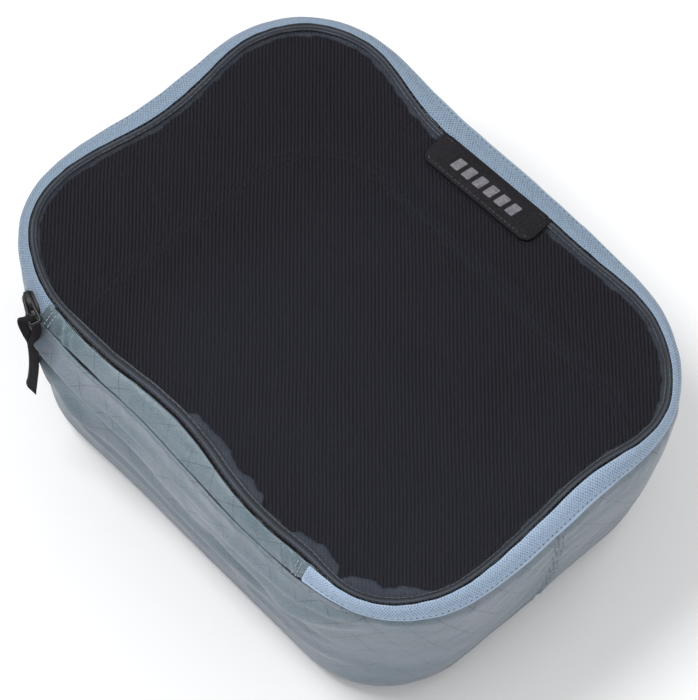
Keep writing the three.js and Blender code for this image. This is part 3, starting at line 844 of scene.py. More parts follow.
def thread(name, base):
    """Twisted thread."""
    mat = Shader(name)
    u, v = mat.uv()
    twist = mat.wave(mat.sum(u, 1.0, v, 0.12), pitch=0.42)
    colour = mat.mix(twist, scaled(base, 0.6), base)
    colour = mat.tint(colour, scaled(base, 1.6), mat.noise(scale=3000.0), amount=0.3)
    normal = mat.bump(twist, distance=0.00006, strength=0.8)
    return mat.finish(mat.surface(colour, 0.7, normal, sheen=0.3, specular=0.3))


def pale_floor(name):
    mat = Shader(name)
    fine = mat.noise(scale=90.0, detail=4.0)
    cloud = mat.ramp(mat.noise(scale=3.0), span=(0.3, 0.7))
    colour = mat.mix(cloud, (0.93, 0.93, 0.935), (0.955, 0.955, 0.955))
    normal = mat.bump(fine, distance=0.0001, strength=0.1)
    return mat.finish(mat.surface(colour, 0.9, normal, specular=0.1))


RIPSTOP = ripstop("ripstop_outer", base=srgb(121, 129, 140), deep=srgb(96, 113, 123),
                  line=srgb(58, 70, 80))
FLAP_CLOTH = ripstop("ripstop_flap", base=srgb(112, 125, 134), deep=srgb(86, 105, 114),
                     line=srgb(60, 73, 82))
LINING = ripstop("ripstop_coated_inside", base=srgb(66, 73, 81), deep=srgb(54, 61, 69),
                 line=srgb(34, 38, 44))
KNIT = knit("knit_band", base=srgb(166, 186, 209), shade=srgb(100, 122, 149))
SHEER = sheer("sheer_mesh")
HEM_TAPE = ribbed("hem_tape", srgb(18, 20, 25), srgb(68, 73, 83), pitch_u=1.1, pitch_v=1.05,
                  slant=1.1, rough=0.8, dark=(0.45, 1.0),
                  edges=((1.55, 0.15, srgb(78, 84, 94)), (2.45, 0.13, srgb(18, 20, 24)),
                         (3.0, 0.16, srgb(88, 94, 104))))
OVERLOCK = ribbed("overlock_edge", srgb(168, 190, 200), srgb(250, 255, 255), pitch_u=0.85,
                  pitch_v=1.9, slant=0.12, rough=0.85, depth=0.0003)
BINDING = ribbed("seam_binding", srgb(56, 62, 70), srgb(84, 92, 101), pitch_u=0.7,
                 pitch_v=0.7, slant=0.4, rough=0.8)
ZIP_TAPE = ribbed("zip_tape_weave", srgb(36, 41, 47), srgb(66, 73, 80), pitch_u=0.5,
                  pitch_v=0.5, slant=0.8, rough=0.8)
COIL = plastic("zip_coil_nylon", srgb(40, 45, 52))
METAL = metal("black_metal")
WEBBING = webbing_weave("pull_webbing")
PATCH = patch_skin("patch_grain")
PRINT = patch_print("patch_print")
THREAD_DARK = thread("thread_dark", srgb(54, 60, 68))
THREAD_BLACK = thread("thread_black", srgb(30, 30, 34))
THREAD_SLATE = thread("thread_slate", srgb(158, 172, 181))


# ------------------------------------------------------------------ rim pieces
# In these the arc is a column, so that it spreads over the points of the section.
def knit_band():
    """Band from the right end of the flap, round the back, to the flap's left end."""
    arc = np.arange(FLAP_RIGHT - 0.6, FLAP_LEFT + 0.7, 0.27)[:, None]
    share, top = closed_section(0, 1, 40, 9)
    width = width_at(arc)
    across = share * width
    middle = across[len(arc) // 2]
    edge = 1 - np.abs(2 * share - 1) ** 3.2
    under = 1 - np.abs(2 * share - 1) ** 4
    height = np.where(top, -0.15 + 1.25 * edge, -0.15 - 0.85 * under)
    knitted = smoothstep(1.7, 2.3, across) * smoothstep(0.0, 0.4, width - across) * top
    loops = ripple(arc, KNIT_PITCH) * np.cos(math.pi * middle / KNIT_ROW)
    height = height + knitted * 0.15 * loops
    # folded outer edge with a groove beside it, then unevenness
    height += top * (0.30 * bell(across, 0.9, 0.65) - 0.34 * bell(across, 1.95, 0.36))
    height += top * (0.30 * rim_noise(arc, 14.0, 3) + edge * 0.16 * rim_noise(arc, 4.0, 4))
    wander = 0.13 * ripple(arc, KNIT_PITCH) + 0.30 * rim_noise(arc, 5.0, 5)
    inward = wander * smoothstep(0.75, 1.0, share)
    inward = inward - 0.35 * rim_noise(arc, 9.0, 6) * smoothstep(0.3, 0.0, share)
    # the right end is folded under, with rounded corners
    start = arc - arc[0]
    fold = np.clip(start / 1.3, 0.02, 1)
    fold = np.sqrt(fold * (2 - fold))
    height = -0.3 + (height + 0.3) * fold + 0.35 * smoothstep(4.5, 1.0, start) * top
    share = 0.5 + (share - 0.5) * (0.80 + 0.20 * fold)
    grid = rim_point(arc, share=share, height=height) + inward_at(arc) * inward[..., None]
    band = tube("knit_binding_band", grid, KNIT, arc[:, 0], closing(across[0]))
    attach_lid(band, "knit_band", "rim_band")


def band_stitches():
    """Row of stitches just inside the band's folded outer edge."""
    arc = np.arange(FLAP_RIGHT + 1.6, FLAP_LEFT - 1.0, 2.35)
    arc = arc + rng.uniform(-0.12, 0.12, len(arc))
    points = rim_point(arc, inset=1.95, height=0.66 + 0.30 * rim_noise(arc, 14.0, 3))
    places = [(point, tangent_at(s) + 0.08 * rng.uniform(-1, 1) * across_at(s), normal_at(s))
              for s, point in zip(arc, points)]
    row = stitches("band_edge_stitches", 0.95, 0.17, 0.75, places, THREAD_DARK)
    attach_lid(row, "thread", "rim_topstitch")


def hem_tape():
    """Tape along the inner edge of the rim, all the way round, and its two stitch rows."""
    arc = np.arange(0, LOOP, LOOP / 2600)[:, None]
    across, top = closed_section(-1.0, 3.3, 26, 8)
    profile = -1.35 + 1.55 * smoothstep(0.35, 1.15, across) + 0.07 * ripple(across, 0.95)
    profile = np.where(top, profile - 0.25 * smoothstep(3.0, 3.3, across), -1.75)
    x, y = outer_at(arc)[..., 0], outer_at(arc)[..., 1]
    widening = 1 + 0.55 * smoothstep(-60, -78, y) * smoothstep(86, 60, np.abs(x - 4.0))
    height = profile + top * (0.22 * rim_noise(arc, 6.0, 8)
                              + 0.045 * ripple(arc + 0.9 * across, 0.85))
    over = (np.maximum(across, 0) * widening + np.minimum(across, 0)
            + 0.28 * rim_noise(arc, 7.0, 9) * smoothstep(1.0, 3.0, across))
    grid = rim_point(arc, share=1.0, over=over, height=height)
    loop_arc = np.r_[arc[:, 0], LOOP]
    tape = tube("mesh_hem_tape_strip", grid, HEM_TAPE, loop_arc, closing(across), closed=True)
    attach_lid(tape, "binding_tape", "mesh_hem_tape", "flap_hem_tape")

    places = []
    for row, start in ((0.9, 0.0), (2.85, 1.2)):
        spots = np.arange(start, LOOP, 2.6)
        over = row * np.interp(spots, loop_arc, closing(widening[:, 0]))
        points = rim_point(spots, share=1.0, over=over,
                           height=0.24 + 0.22 * rim_noise(spots, 6.0, 8))
        places += [(point, tangent_at(s), UP) for s, point in zip(spots, points)]
    rows = stitches("hem_tape_stitches", 1.9, 0.17, 0.7, places, THREAD_BLACK)
    attach_lid(rows, "thread")


def overlocked_allowance():
    """Overlocked seam allowance, seen through the mesh."""
    arc = np.arange(0, LOOP, LOOP / 3400)[:, None]
    x, y = outer_at(arc)[..., 0], outer_at(arc)[..., 1]
    front = (smoothstep(-50, -78, y) * smoothstep(-9, -5, x)
             * (1 - 0.70 * smoothstep(35, 41, x) * smoothstep(59, 55, x)))
    right = smoothstep(81, 86, x) * smoothstep(-58, -66, y)
    width = (4.4 + 5.0 * front * smoothstep(82, 77, x) + 4.6 * right
             + 2.4 * rim_noise(arc, 8.0, 21) * (0.4 + front) + 0.9 * rim_noise(arc, 2.6, 22))
    share, top = closed_section(0, 1, 16, 6)
    lip = top * smoothstep(0.9, 1.0, share)
    pitch = 0.78
    over = -1.2 + share * (width + 1.2)
    height = np.where(top, -1.55 + 0.15 * np.sin(math.pi * share), -2.15)
    height = height - 0.15 * np.maximum(over, 0) - 0.35 * lip
    height += top * (0.14 * ripple(arc + 0.12 * over, pitch)
                     + 0.25 * rim_noise(arc, 5.0, 23) * share)
    over += lip * 0.22 * ripple(arc, pitch)
    grid = rim_point(arc, share=1.0, over=over, height=height)
    piece = tube("overlocked_allowance", grid, OVERLOCK, np.r_[arc[:, 0], LOOP],
                 closing(share * 5), closed=True)
    attach_lid(piece, "overlock", "rim_seam_allowance", "flap_seam_allowance")


def mesh_sag(x, y):
    """Height of the mesh over its edge: a dip, waves, and folds beside the right rim."""
    inside = np.clip(1 - (x / 113.0) ** 4, 0, 1) * np.clip(1 - (y / 80.0) ** 4, 0, 1)
    waves = 1.10 * noise2(x / 42, y / 30, 31) + 0.44 * noise2(x / 13, y / 11, 32)
    folds = bell(x, 103, 7.5) * ripple(x + 1.2 * np.sin(y / 13), 4.2)
    return inside * (waves - 1.1) + 0.30 * folds * smoothstep(86, 60, np.abs(y))


def mesh_lid():
    ring = rim_point(np.arange(0, LOOP, LOOP / 1200), share=1.0, over=0.8, height=-0.75)
    ring[:, 2] = MESH_Z
    grid = patchwork(ring, 190, 140)
    x, y = grid[..., 0], grid[..., 1]
    grid[..., 2] += mesh_sag(x, y)
    lid = shell("mesh_lid_panel", grid, 0.24, SHEER, x, y)
    attach_lid(lid, "sheer_mesh", "mesh_panel", "mesh_front_leaf")


def flap_lap(x):
    """Rise of the flap's left end over the knit band, and drop of its right end."""
    return 0.95 * smoothstep(-72.5, -75.5, x) - 0.95 * smoothstep(68.6, 71.2, x)


def zip_flap():
    """Puckered flap over the zip."""
    arc = np.arange(FLAP_LEFT - 1.5, FLAP_RIGHT + LOOP + 2.2, 0.45)[:, None]
    share, top = closed_section(0, 1, 26, 8)
    x = outer_at(arc)[..., 0]
    edge = 1 - np.abs(2 * share - 1) ** 3.0
    across = share * width_at(arc)
    pucker = (noise2(arc / 5.5, across / 9.0, 41) * 0.9
              + noise2(arc / 2.6, across / 5.0, 42) * 0.35)
    gather = bell(x, -64.0, 7.0) + 0.45 * bell(x, 65, 6.0)
    pleat = ripple(x + 0.75 * across + 2.2 * noise2(arc / 9.0, across / 12.0, 45), 6.2)
    crumple = (0.50 + 2.0 * gather) * pucker + 1.20 * gather * pleat
    height = np.where(top, -0.1 + 0.85 * edge + crumple * edge, -0.1 - 0.75 * edge)
    height += top * edge * 0.55 * noise2(arc / 26.0, across / 7.0, 46)
    # ridge and groove along the lower edge, then across the turned-over ends
    height += top * (0.28 * bell(across, 0.75, 0.5) - 0.22 * bell(across, 1.7, 0.35))
    ends = 0.30 * bell(x, -75.1, 0.6) + 0.22 * bell(x, -73.3, 0.5)
    for stitch_x in FLAP_STITCH_X:
        ends = ends - 0.24 * bell(x, stitch_x, 0.45)
    height += flap_lap(x) + top * edge * ends
    wander = 0.30 * rim_noise(arc, 8.0, 43) + 0.12 * rim_noise(arc, 2.6, 44)
    wander = wander * smoothstep(0.4, 0.0, share)
    grid = rim_point(arc, share=share, height=height) - inward_at(arc) * wander[..., None]
    flap = tube("zip_cover_flap", grid, FLAP_CLOTH, arc[:, 0],
                closing(across[len(arc) // 2]))
    attach_lid(flap, "ripstop", "zip_flap")


def flap_stitches():
    """Two short rows of stitches across each end of the flap."""
    places = []
    for x in FLAP_STITCH_X:
        arc = front_arc(x)
        insets = np.arange(1.0, float(width_at(arc)) - 0.6, 1.75)
        points = rim_point(arc, inset=insets, height=0.86 + flap_lap(x))
        places += [(point, across_at(arc), normal_at(arc)) for point in points]
    rows = stitches("flap_stitches", 1.35, 0.22, 0.8, places, THREAD_SLATE)
    attach_lid(rows, "thread")


# ------------------------------------------------------------------ zip
def zip_tape(name, arc, edge, far_edge):
    """Flat tape between two edges."""
    count, thickness = 7, 0.4
    share = np.linspace(0, 1, count)[None, :, None]
    flat = edge[:, None] * (1 - share) + far_edge[:, None] * share
    along = unit(np.gradient(edge, axis=0))
    lift = unit(np.cross(along, unit(far_edge - edge)))[:, None] * thickness / 2
    grid = np.concatenate([flat + lift, (flat - lift)[:, ::-1]], 1)
    width = float(np.linalg.norm(far_edge - edge, axis=1).mean())
    v = np.r_[np.linspace(0, width, count), np.linspace(width, 0, count)]
    return tube(name, grid, ZIP_TAPE, arc, closing(v))


def zip_coil(name, arc, centre, phase):
    """Helix of nylon wire along the zip."""
    radius, wire, pitch, around = 0.62, 0.24, 1.15, 6
    fine = np.linspace(arc[0], arc[-1], int((arc[-1] - arc[0]) / pitch * 13))
    middle = interp_rows(fine, arc, centre)
    tangent = unit(interp_rows(fine, arc, tangent_at(arc)))
    rise = unit(UP - (tangent @ UP)[:, None] * tangent)
    side = np.cross(tangent, rise)
    turn = (2 * math.pi * fine / pitch + phase)[:, None]
    path = middle + radius * (np.cos(turn) * side * 1.1 + np.sin(turn) * rise * 0.8)
    along = unit(np.gradient(path, axis=0))
    radial = unit(path - middle)
    radial = unit(radial - (radial * along).sum(1)[:, None] * along)
    other = np.cross(along, radial)
    angle = turn_angles(around)[:, None]
    grid = path[:, None] + wire * (np.cos(angle) * radial[:, None]
                                   + np.sin(angle) * other[:, None])
    return tube(name, grid[:, ::-1], COIL, fine, np.arange(around + 1) * 0.3)


def zip_halves():
    arc = np.arange(ZIP_LEFT, ZIP_RIGHT + LOOP, 1.0)
    upper = zip_tape("zip_tape_upper_strip", arc, rim_offset(arc, 0.3, 2.55),
                     rim_offset(arc, 4.4, 1.9))
    attach_lid(upper, "zip_tape", "zip_tape_upper")
    ends = np.clip(1 - np.minimum(arc - arc[0], arc[-1] - arc) / 6.0, 0, 1)
    lower = zip_tape("zip_tape_lower_strip", arc, rim_offset(arc, 0.8 * ends - 1.2, 4.8),
                     rim_offset(arc, -0.1, 2.6))
    attach(lower, "zip_tape", "zip_tape_lower")
    upper = zip_coil("zip_coil_upper_helix", arc, rim_offset(arc, 0.75, 1.75), phase=0.0)
    attach_lid(upper, "zip_coil", "zip_coil_upper")
    lower = zip_coil("zip_coil_lower_helix", arc, rim_offset(arc, -0.25, 1.85), phase=math.pi)
    attach(lower, "zip_coil", "zip_coil_lower")


# ------------------------------------------------------------------ walls
def wall_outline():
    """Plan of the walls just above the floor, anticlockwise from mid front."""
    front = -88.6
    corners = rounded_outline(113.0, front, 88.0, radii=(41.0, 52.0, 46.0, 52.0), steps=24)
    points = np.vstack([(0.0, front), corners])
    x, y = points.T
    points[:, 1] += 0.034 * np.clip(x, -70, 70) * smoothstep(0, -80, y)
    return resample_loop(points, 4000, sigma=4.0)[0]


wall_foot = match_loop(wall_outline(), blur=30)
foot_tangent = unit(np.roll(wall_foot, -4, 0) - np.roll(wall_foot, 4, 0))
wall_outward = np.stack([foot_tangent[:, 1], -foot_tangent[:, 0]], 1)
foot_at = along_rim(wall_foot)
outward_at = along_rim(wall_outward)


def slot_gap(arc):
    """Width of the slot between flap and wall: a thin line that opens in places."""
    x = outer_at(arc)[..., 0]
    return (-0.42 + 0.80 * bell(x, -52, 12) + 0.22 * bell(x, 22, 22) + 0.40 * bell(x, 66, 6)
            + 0.16 * rim_noise(arc, 9.0, 101))


def along_zip(arc):
    """1 along the zip, 0 where the wall is sewn straight into the band."""
    start, place = ZIP_LEFT - LOOP, wrap_arc(arc)
    return (smoothstep(start - 5, start + 3, place)
            * smoothstep(ZIP_RIGHT + 5, ZIP_RIGHT - 3, place))


def wall_push(arc, x, y, z, top_z):
    """Outward push of the cloth: crest, sag, folds and wrinkles."""
    fade = smoothstep(0.0, 0.12, (top_z - z) / (top_z - WALL_TURN_Z))
    corner = smoothstep(70, 100, np.abs(x)) * smoothstep(45, 78, np.abs(y))
    # the wall leans out to a soft crest a little above half height, then in again
    crest = 50.0 + 3.0 * noise3(x / 70, y / 70, 0.5, 50)
    above = (top_z - z) / (top_z - crest)
    below = (z - WALL_TURN_Z) / (crest - WALL_TURN_Z)
    slope = 1 - np.clip(np.minimum(above, below), 0, 1)
    ridge = 1 - np.sqrt(slope ** 2 + 0.035) + 0.187 * slope
    left = smoothstep(-98, -118, x) * smoothstep(10, -40, y)
    push = (4.0 - 3.0 * corner) * (1 - 0.85 * left) * ridge
    for height, scale, scale_z, seed in ((1.5, 58, 30, 51), (0.50, 34, 16, 52),
                                         (0.10, 6, 5, 53)):
        push = push + height * noise3(x / scale, y / scale, z / scale_z, seed) * fade
    # small puckers drawn in by the seam under the rim
    away = [wrap_arc(arc - seam) for seam in (SEAM_RIGHT, SEAM_LEFT)]
    off_seam = smoothstep(0.5, 5.0, np.minimum(*np.abs(away)))
    push = push + 0.72 * noise2(arc / 5.5, z / 30, 56) * bell(top_z - z, 3, 7.5) * off_seam
    # side seams pull in, with wrinkles fanning out of them
    for side in away:
        wobble = 5.1 * noise2(z / 14, side / 20, 57)
        fan = np.sin(2 * math.pi * (z + 0.35 * np.abs(side)) / 9.5 + wobble)
        push = push - 0.50 * bell(side, 0, 1.3) + 0.50 * np.exp(-np.abs(side) / 16) * fan * fade
    front = smoothstep(-60, -82, y) * smoothstep(-95, -80, x)
    for x0, z0, x1, z1, width, height in FOLDS:
        length = math.hypot(x1 - x0, z1 - z0)
        way_x, way_z = (x1 - x0) / length, (z1 - z0) / length
        along = (x - x0) * way_x + (z - z0) * way_z
        across = (z - z0) * way_x - (x - x0) * way_z + 1.2 * np.sin(along / 19.0 + x0)
        push = push + (1.9 * front * height * bell(across, 0, width)
                       * smoothstep(-0.12 * length, 0.15 * length, along)
                       * smoothstep(1.15 * length, 0.6 * length, along))
    return push


def wall_surface(arc, rows, turn_rows):
    """Wall from the rim down, then turned in under the case: one line of points per arc."""
    arc = np.asarray(arc, float)[:, None]
    outer, foot, outward = outer_at(arc), foot_at(arc), outward_at(arc)
    zipped = along_zip(arc)
    # it starts tucked under the band, or outside the slot along the zip
    top_z = outer[..., 2] - 0.05 - 1.05 * zipped
    inset = 1.25 * (1 - zipped) - (1.15 + slot_gap(arc)) * zipped
    start = outer[..., :2] + inward_at(arc)[..., :2] * inset[..., None]
    down = np.linspace(0, 1, rows) ** 1.08
    z = top_z * (1 - down) + WALL_TURN_Z * down
    # quick roll out from under the band
    roll = (1 - zipped) * 1.5 * smoothstep(0, 0.062, down) * (1 - down)
    plan = start * (1 - down)[:, None] + foot * down[:, None] + outward * roll[..., None]
    turn = np.linspace(0, 1, turn_rows + 1)[1:] * math.pi / 2 * 0.97
    turn_z = WALL_TURN_Z - (WALL_TURN_Z - WALL_FOOT_Z) * np.sin(turn)
    turn_plan = foot - outward * (WALL_INSET * (1 - np.cos(turn)))[:, None]
    plan = np.concatenate([plan, turn_plan], 1)
    z = np.concatenate([z, np.broadcast_to(turn_z, (len(arc), turn_rows))], 1)
    push = wall_push(arc, plan[..., 0], plan[..., 1], z, top_z)
    push = push * smoothstep(WALL_FOOT_Z, 7.0, z)
    # lower edge settles unevenly
    sag = (smoothstep(30, 8, z) * smoothstep(WALL_FOOT_Z, 6, z) * 0.8
           * rim_noise(arc, 24.0, 61))
    plan = plan + outward * push[..., None]
    return np.concatenate([plan, np.maximum(z + sag, 0.85)[..., None]], -1)


def wall_cloth(name, start, end, replaced):
    arc = np.linspace(start, end, int(end - start))
    grid = wall_surface(arc, 86, 16)[:, ::-1]      # from the floor up, so normals face out
    steps = np.linalg.norm(np.diff(grid, axis=1), axis=2)
    v = np.concatenate([np.zeros((len(arc), 1)), np.cumsum(steps, 1)], 1)
    u = np.broadcast_to(arc[:, None], v.shape)
    wall = shell(name, grid, 0.7, RIPSTOP, u, v, inner_material=LINING)
    attach(wall, "ripstop", replaced)


def wall_lip():
    """Rolled top edge of the front wall, just outside the slot."""
    arc = np.arange(ZIP_LEFT - LOOP - 3.0, ZIP_RIGHT + 3.0, 0.5)[:, None]
    zipped = along_zip(arc)
    turn = turn_angles(14)
    radius = 0.86 + 0.12 * rim_noise(arc, 5.0, 71) + 0.07 * rim_noise(arc, 2.0, 72)
    inset = 1.2 * (1 - zipped) - (slot_gap(arc) + 0.86) * zipped
    drop = 1.05 + 0.5 * (1 - zipped)
    grid = rim_offset(arc, inset - radius * np.cos(turn), drop - radius * 1.25 * np.sin(turn))
    lip = tube("wall_lip_roll", grid, RIPSTOP, arc[:, 0], np.r_[turn, 2 * math.pi] * 0.9)
    attach(lip, "ripstop", "wall_top_lip")


def side_seam_stitches():
    """A row of stitches on either side of each side seam."""
    places = []
    for seam in (SEAM_RIGHT, SEAM_LEFT):
        for offset in (-2.2, 2.2):
            arc = seam + offset + np.array([-0.4, 0, 0.4])
            before, line, after = wall_surface(arc, 160, 16)
            knots = arc_lengths(line)
            spots = np.arange(4.0, knots[-1] - 8.0, 2.7)
            points = interp_rows(spots, knots, line)
            along = unit(interp_rows(spots + 0.6, knots, line) - points)
            sideways = interp_rows(spots, knots, after) - interp_rows(spots, knots, before)
            normal = unit(np.cross(sideways, -along))
            places += zip(points + normal * 0.06, along, normal)
    grey = thread("thread_grey", srgb(84, 98, 108))
    attach(stitches("side_seam_stitches", 1.7, 0.18, 0.7, places, grey), "thread")


def bottom_cloth():
    plan = wall_foot - wall_outward * (WALL_INSET - 1.2)
    grid = patchwork(np.column_stack([plan, np.zeros(RIM_COUNT)]), 150, 110)
    x, y = grid[..., 0], grid[..., 1]
    middle = smoothstep(1.0, 0.90, np.maximum(np.abs(x) / 104.5, np.abs(y) / 79.5))
    rise = 0.9 + 0.5 * noise2(x / 30, y / 30, 81) + 0.25 * noise2(x / 9, y / 9, 82)
    grid[..., 2] = 1.0 + rise * middle
    cloth = shell("bottom_cloth", grid, grid[..., 2] - 0.12, RIPSTOP, x, y,
                  inner_material=RIPSTOP)
    # the lining takes the first slot, the outer cloth the second
    cloth.data.materials.clear()
    cloth.data.materials.append(LINING)
    cloth.data.materials.append(RIPSTOP)
    attach(cloth, "ripstop", "bottom_panel")


def bindings():
    """Flat oval bindings inside: round the base, then up both side seams."""
    arc = np.arange(0, LOOP, LOOP / 900)[:, None]
    turn = turn_angles(10)
    v = np.r_[turn, 2 * math.pi] * 1.4
    plan = foot_at(arc) + outward_at(arc) * (1.9 * np.cos(turn) - 7.2)[:, None]
    z = 3.6 + 0.35 * rim_noise(arc, 8.0, 84) + 0.75 * np.sin(turn)
    grid = np.concatenate([plan, z[..., None]], -1)
    loop_arc = np.r_[arc[:, 0], LOOP]
    strip = tube("base_binding_strip", grid, BINDING, loop_arc, v, closed=True)
    attach(strip, "binding_tape", "base_seam_binding")

    turn = turn[:, None]
    for side, seam in (("right", SEAM_RIGHT), ("left", SEAM_LEFT)):
        tangent = unit(tangent_at(seam) * [1, 1, 0])
        outward = np.array([tangent[1], -tangent[0], 0.0])
        line = wall_surface([seam], 70, 6)[0][3:-2] - outward * 2.6
        grid = line[:, None] + 2.0 * np.cos(turn) * tangent + 0.8 * np.sin(turn) * outward
        strip = tube("side_binding_" + side, grid, BINDING, arc_lengths(line), v)
        attach(strip, "binding_tape", "side_seam_binding_" + side)


# ------------------------------------------------------------------ patch at the back
PATCH_WIDTH, PATCH_DEPTH = 57, 15.2
PATCH_CENTRE = np.array([-3.2, 74.4, 0])
PATCH_YAW = math.radians(3.6)
PATCH_X = np.array([math.cos(PATCH_YAW), math.sin(PATCH_YAW), 0])
PATCH_Y = np.array([-math.sin(PATCH_YAW), math.cos(PATCH_YAW), 0])


def patch_place(local):
    points = PATCH_CENTRE + local[:, :1] * PATCH_X + local[:, 1:2] * PATCH_Y
    points[:, 2] = MESH_Z + mesh_sag(points[:, 0], points[:, 1]) * 0.6 + local[:, 2]
    return points


def patch_outline(margin, front_radius, count, sigma):
    """Patch shape inside a margin, with tight corners at the back."""
    half, depth = PATCH_WIDTH / 2 - margin, PATCH_DEPTH / 2 - margin
    radii = (front_radius, 1.0, 1.0, front_radius)
    return rounded_outline(half, -depth, depth, radii, steps=14), count, sigma


def patch_warp(grid):
    """Groove inside the free edges, and the back edge dipping."""
    x, y, z = np.moveaxis(grid, -1, 0)
    inside = np.minimum(PATCH_WIDTH / 2 - np.abs(x), y + 7.3)
    groove = -0.28 * bell(inside, 1.75, 0.45) + 0.14 * smoothstep(2.2, 3.2, inside)
    warped = z + np.where(z > 0.8, groove, 0) - 0.75 * smoothstep(6.0, 7.9, y)
    return np.stack([x, y, warped], -1)


def patch_badge():
    outline, count, sigma = patch_outline(0, 4.6, 240, 0.4)
    outline, _ = resample_loop(outline + [0, 0.3], count, sigma)
    badge = slab("patch_badge", outline, 0.15, 1.45, 0.42, patch_place, PATCH,
                 warp=patch_warp)
    attach(badge, "patch_skin", "label_patch")


def patch_stitches():
    line, length = resample_loop(*patch_outline(1.75, 3.0, 400, 0.3))
    index = (np.arange(0, length - 0.9, 2.05) / length * len(line)).astype(int)
    along = line[(index + 2) % len(line)] - line[index - 2]
    along = along[:, :1] * PATCH_X + along[:, 1:] * PATCH_Y
    points = patch_place(np.column_stack([line[index], np.full(len(index), 1.36)]))
    places = [(point, way, UP) for point, way in zip(points, along)]
    plum = thread("thread_plum", srgb(66, 62, 72))
    row = stitches("patch_stitches", 1.45, 0.19, 0.75, places, plum)
    attach(row, "thread", "patch_stitching")


def patch_lozenges():
    """A row of six bevelled lozenges."""
    half_x, half_y, half_skew = 1.95, 2.7, 0.55
    corners = np.array([(-half_x - half_skew, -half_y), (half_x - half_skew, -half_y),
                        (half_x + half_skew, half_y), (-half_x + half_skew, half_y)])
    share = np.linspace(0, 1, 8, endpoint=False)[:, None]
    sides = [start + (end - start) * share
             for start, end in zip(corners, np.roll(corners, -1, 0))]
    outline, _ = resample_loop(np.vstack(sides), 40, sigma=0.28)
    # levels: share of the outline, height
    levels = [(1.0, 1.45), (1.0, 1.78), (0.93, 1.88), (0.55, 1.90), (0.06, 1.90)]
    one = np.vstack([np.column_stack([outline * size, np.full(40, z)]) for size, z in levels])
    one_faces = stacked_faces(len(levels), 40, order=(0, 3, 2, 1))
    points, faces = [], []
    for k, x in enumerate(np.linspace(-14.5, 14.5, 6)):
        points.append(patch_place(one + [x, 0, 0]))
        faces += [[corner + k * len(one) for corner in face] for face in one_faces]
    points = np.vstack(points)
    uv = points[[corner for face in faces for corner in face], :2]
    mark = build("patch_lozenges", points, faces, PRINT, uv)
    attach(mark, "patch_print", "patch_mark")


# ------------------------------------------------------------------ slider, link, webbing
def slider():
    yaw = math.radians(-20.0)
    along = np.array([math.cos(yaw), math.sin(yaw), 0.0])
    up = unit(np.array([0.05, -0.30, 1.0]))
    place = placer(np.array([-83.8, -87.6, 80.1]), along, up)
    # plates: a shield, wide at the left and narrow at the right
    turn = turn_angles(96)
    half = 2.9 - 0.6 * smoothstep(-0.2, 1.0, np.cos(turn))
    shield = np.stack([5.4 * signed_power(np.cos(turn), 0.62),
                       half * signed_power(np.sin(turn), 0.62)], 1)
    shield, _ = resample_loop(shield, 96, sigma=0.25)

    def dish(grid):
        x, y, z = np.moveaxis(grid, -1, 0)
        dished = z - 0.0108 * x ** 2 - np.where(z > 1.8, 0.03 * y ** 2, 0)
        return np.stack([x, y, dished], -1)

    upper = slab("slider_upper_plate", shield, 0.9, 2.6, 0.42, place, METAL, warp=dish)
    attach(upper, "black_metal", "slider_body", rides="slider")
    under = slab("slider_under_plate", shield * [0.92, 0.86], -2.4, -1.2, 0.35, place, METAL)
    attach(under, "black_metal", "slider_lower_plate", rides="slider")
    post = rounded_outline(1.3, -0.75, 0.75, radii=(0.6,) * 4, steps=8) + [-3.2, 0]
    post = slab("slider_post", post, -1.6, 1.2, 0.15, place, METAL)
    attach(post, "black_metal", rides="slider")
    arch = smooth_path([(-5.0, 0, 1.5), (-4.95, 0, 3.2), (-3.9, 0, 4.3), (-0.6, 0, 4.6),
                        (1.6, 0, 4.2), (2.7, 0, 3.2), (2.9, 0, 1.9)], 48, sigma=0.5)
    bail = sweep("slider_bail_arch", place(arch), oval_section(1.25, 0.42, 18, 3.0),
                 up + 0.001 * along, METAL)
    attach(bail, "black_metal", "slider_bail", rides="slider")


def puller_link():
    """Tapered metal ring with a crossbar, over the slider and out past its end."""
    start, end = np.array([-86.9, -88.1, 83.9]), np.array([-75.5, -92.8, 83.5])
    up = unit(np.array((0.15, -0.42, 1.0)))
    place = placer((start + end) / 2, end - start, up)
    half = float(np.linalg.norm(end - start)) / 2
    front = [(-half, -0.6, 0), (-half + 0.5, -1.1, 0), (0, -1.6, 0), (half - 0.8, -2.3, 0),
             (half, -1.9, 0)]
    back = [(x, -y, 0) for x, y, _ in front[::-1]]
    outline = front + [(half + 0.1, 0, 0)] + back + [(-half - 0.1, 0, 0)]
    path, _ = resample_loop(outline, 160, sigma=0.35)
    ring = sweep("puller_link_ring", place(path), oval_section(0.70, 0.66, 16, 3.2), up,
                 METAL, closed=True)
    attach(ring, "black_metal", "puller_frame", rides="puller")
    bar = place(np.array([(half - 3.4, y, 0.0) for y in np.linspace(-1.8, 1.8, 30)]))
    bar = sweep("puller_link_crossbar", bar, oval_section(0.6, 0.5, 14, 2.6), up, METAL)
    attach(bar, "black_metal", rides="puller")


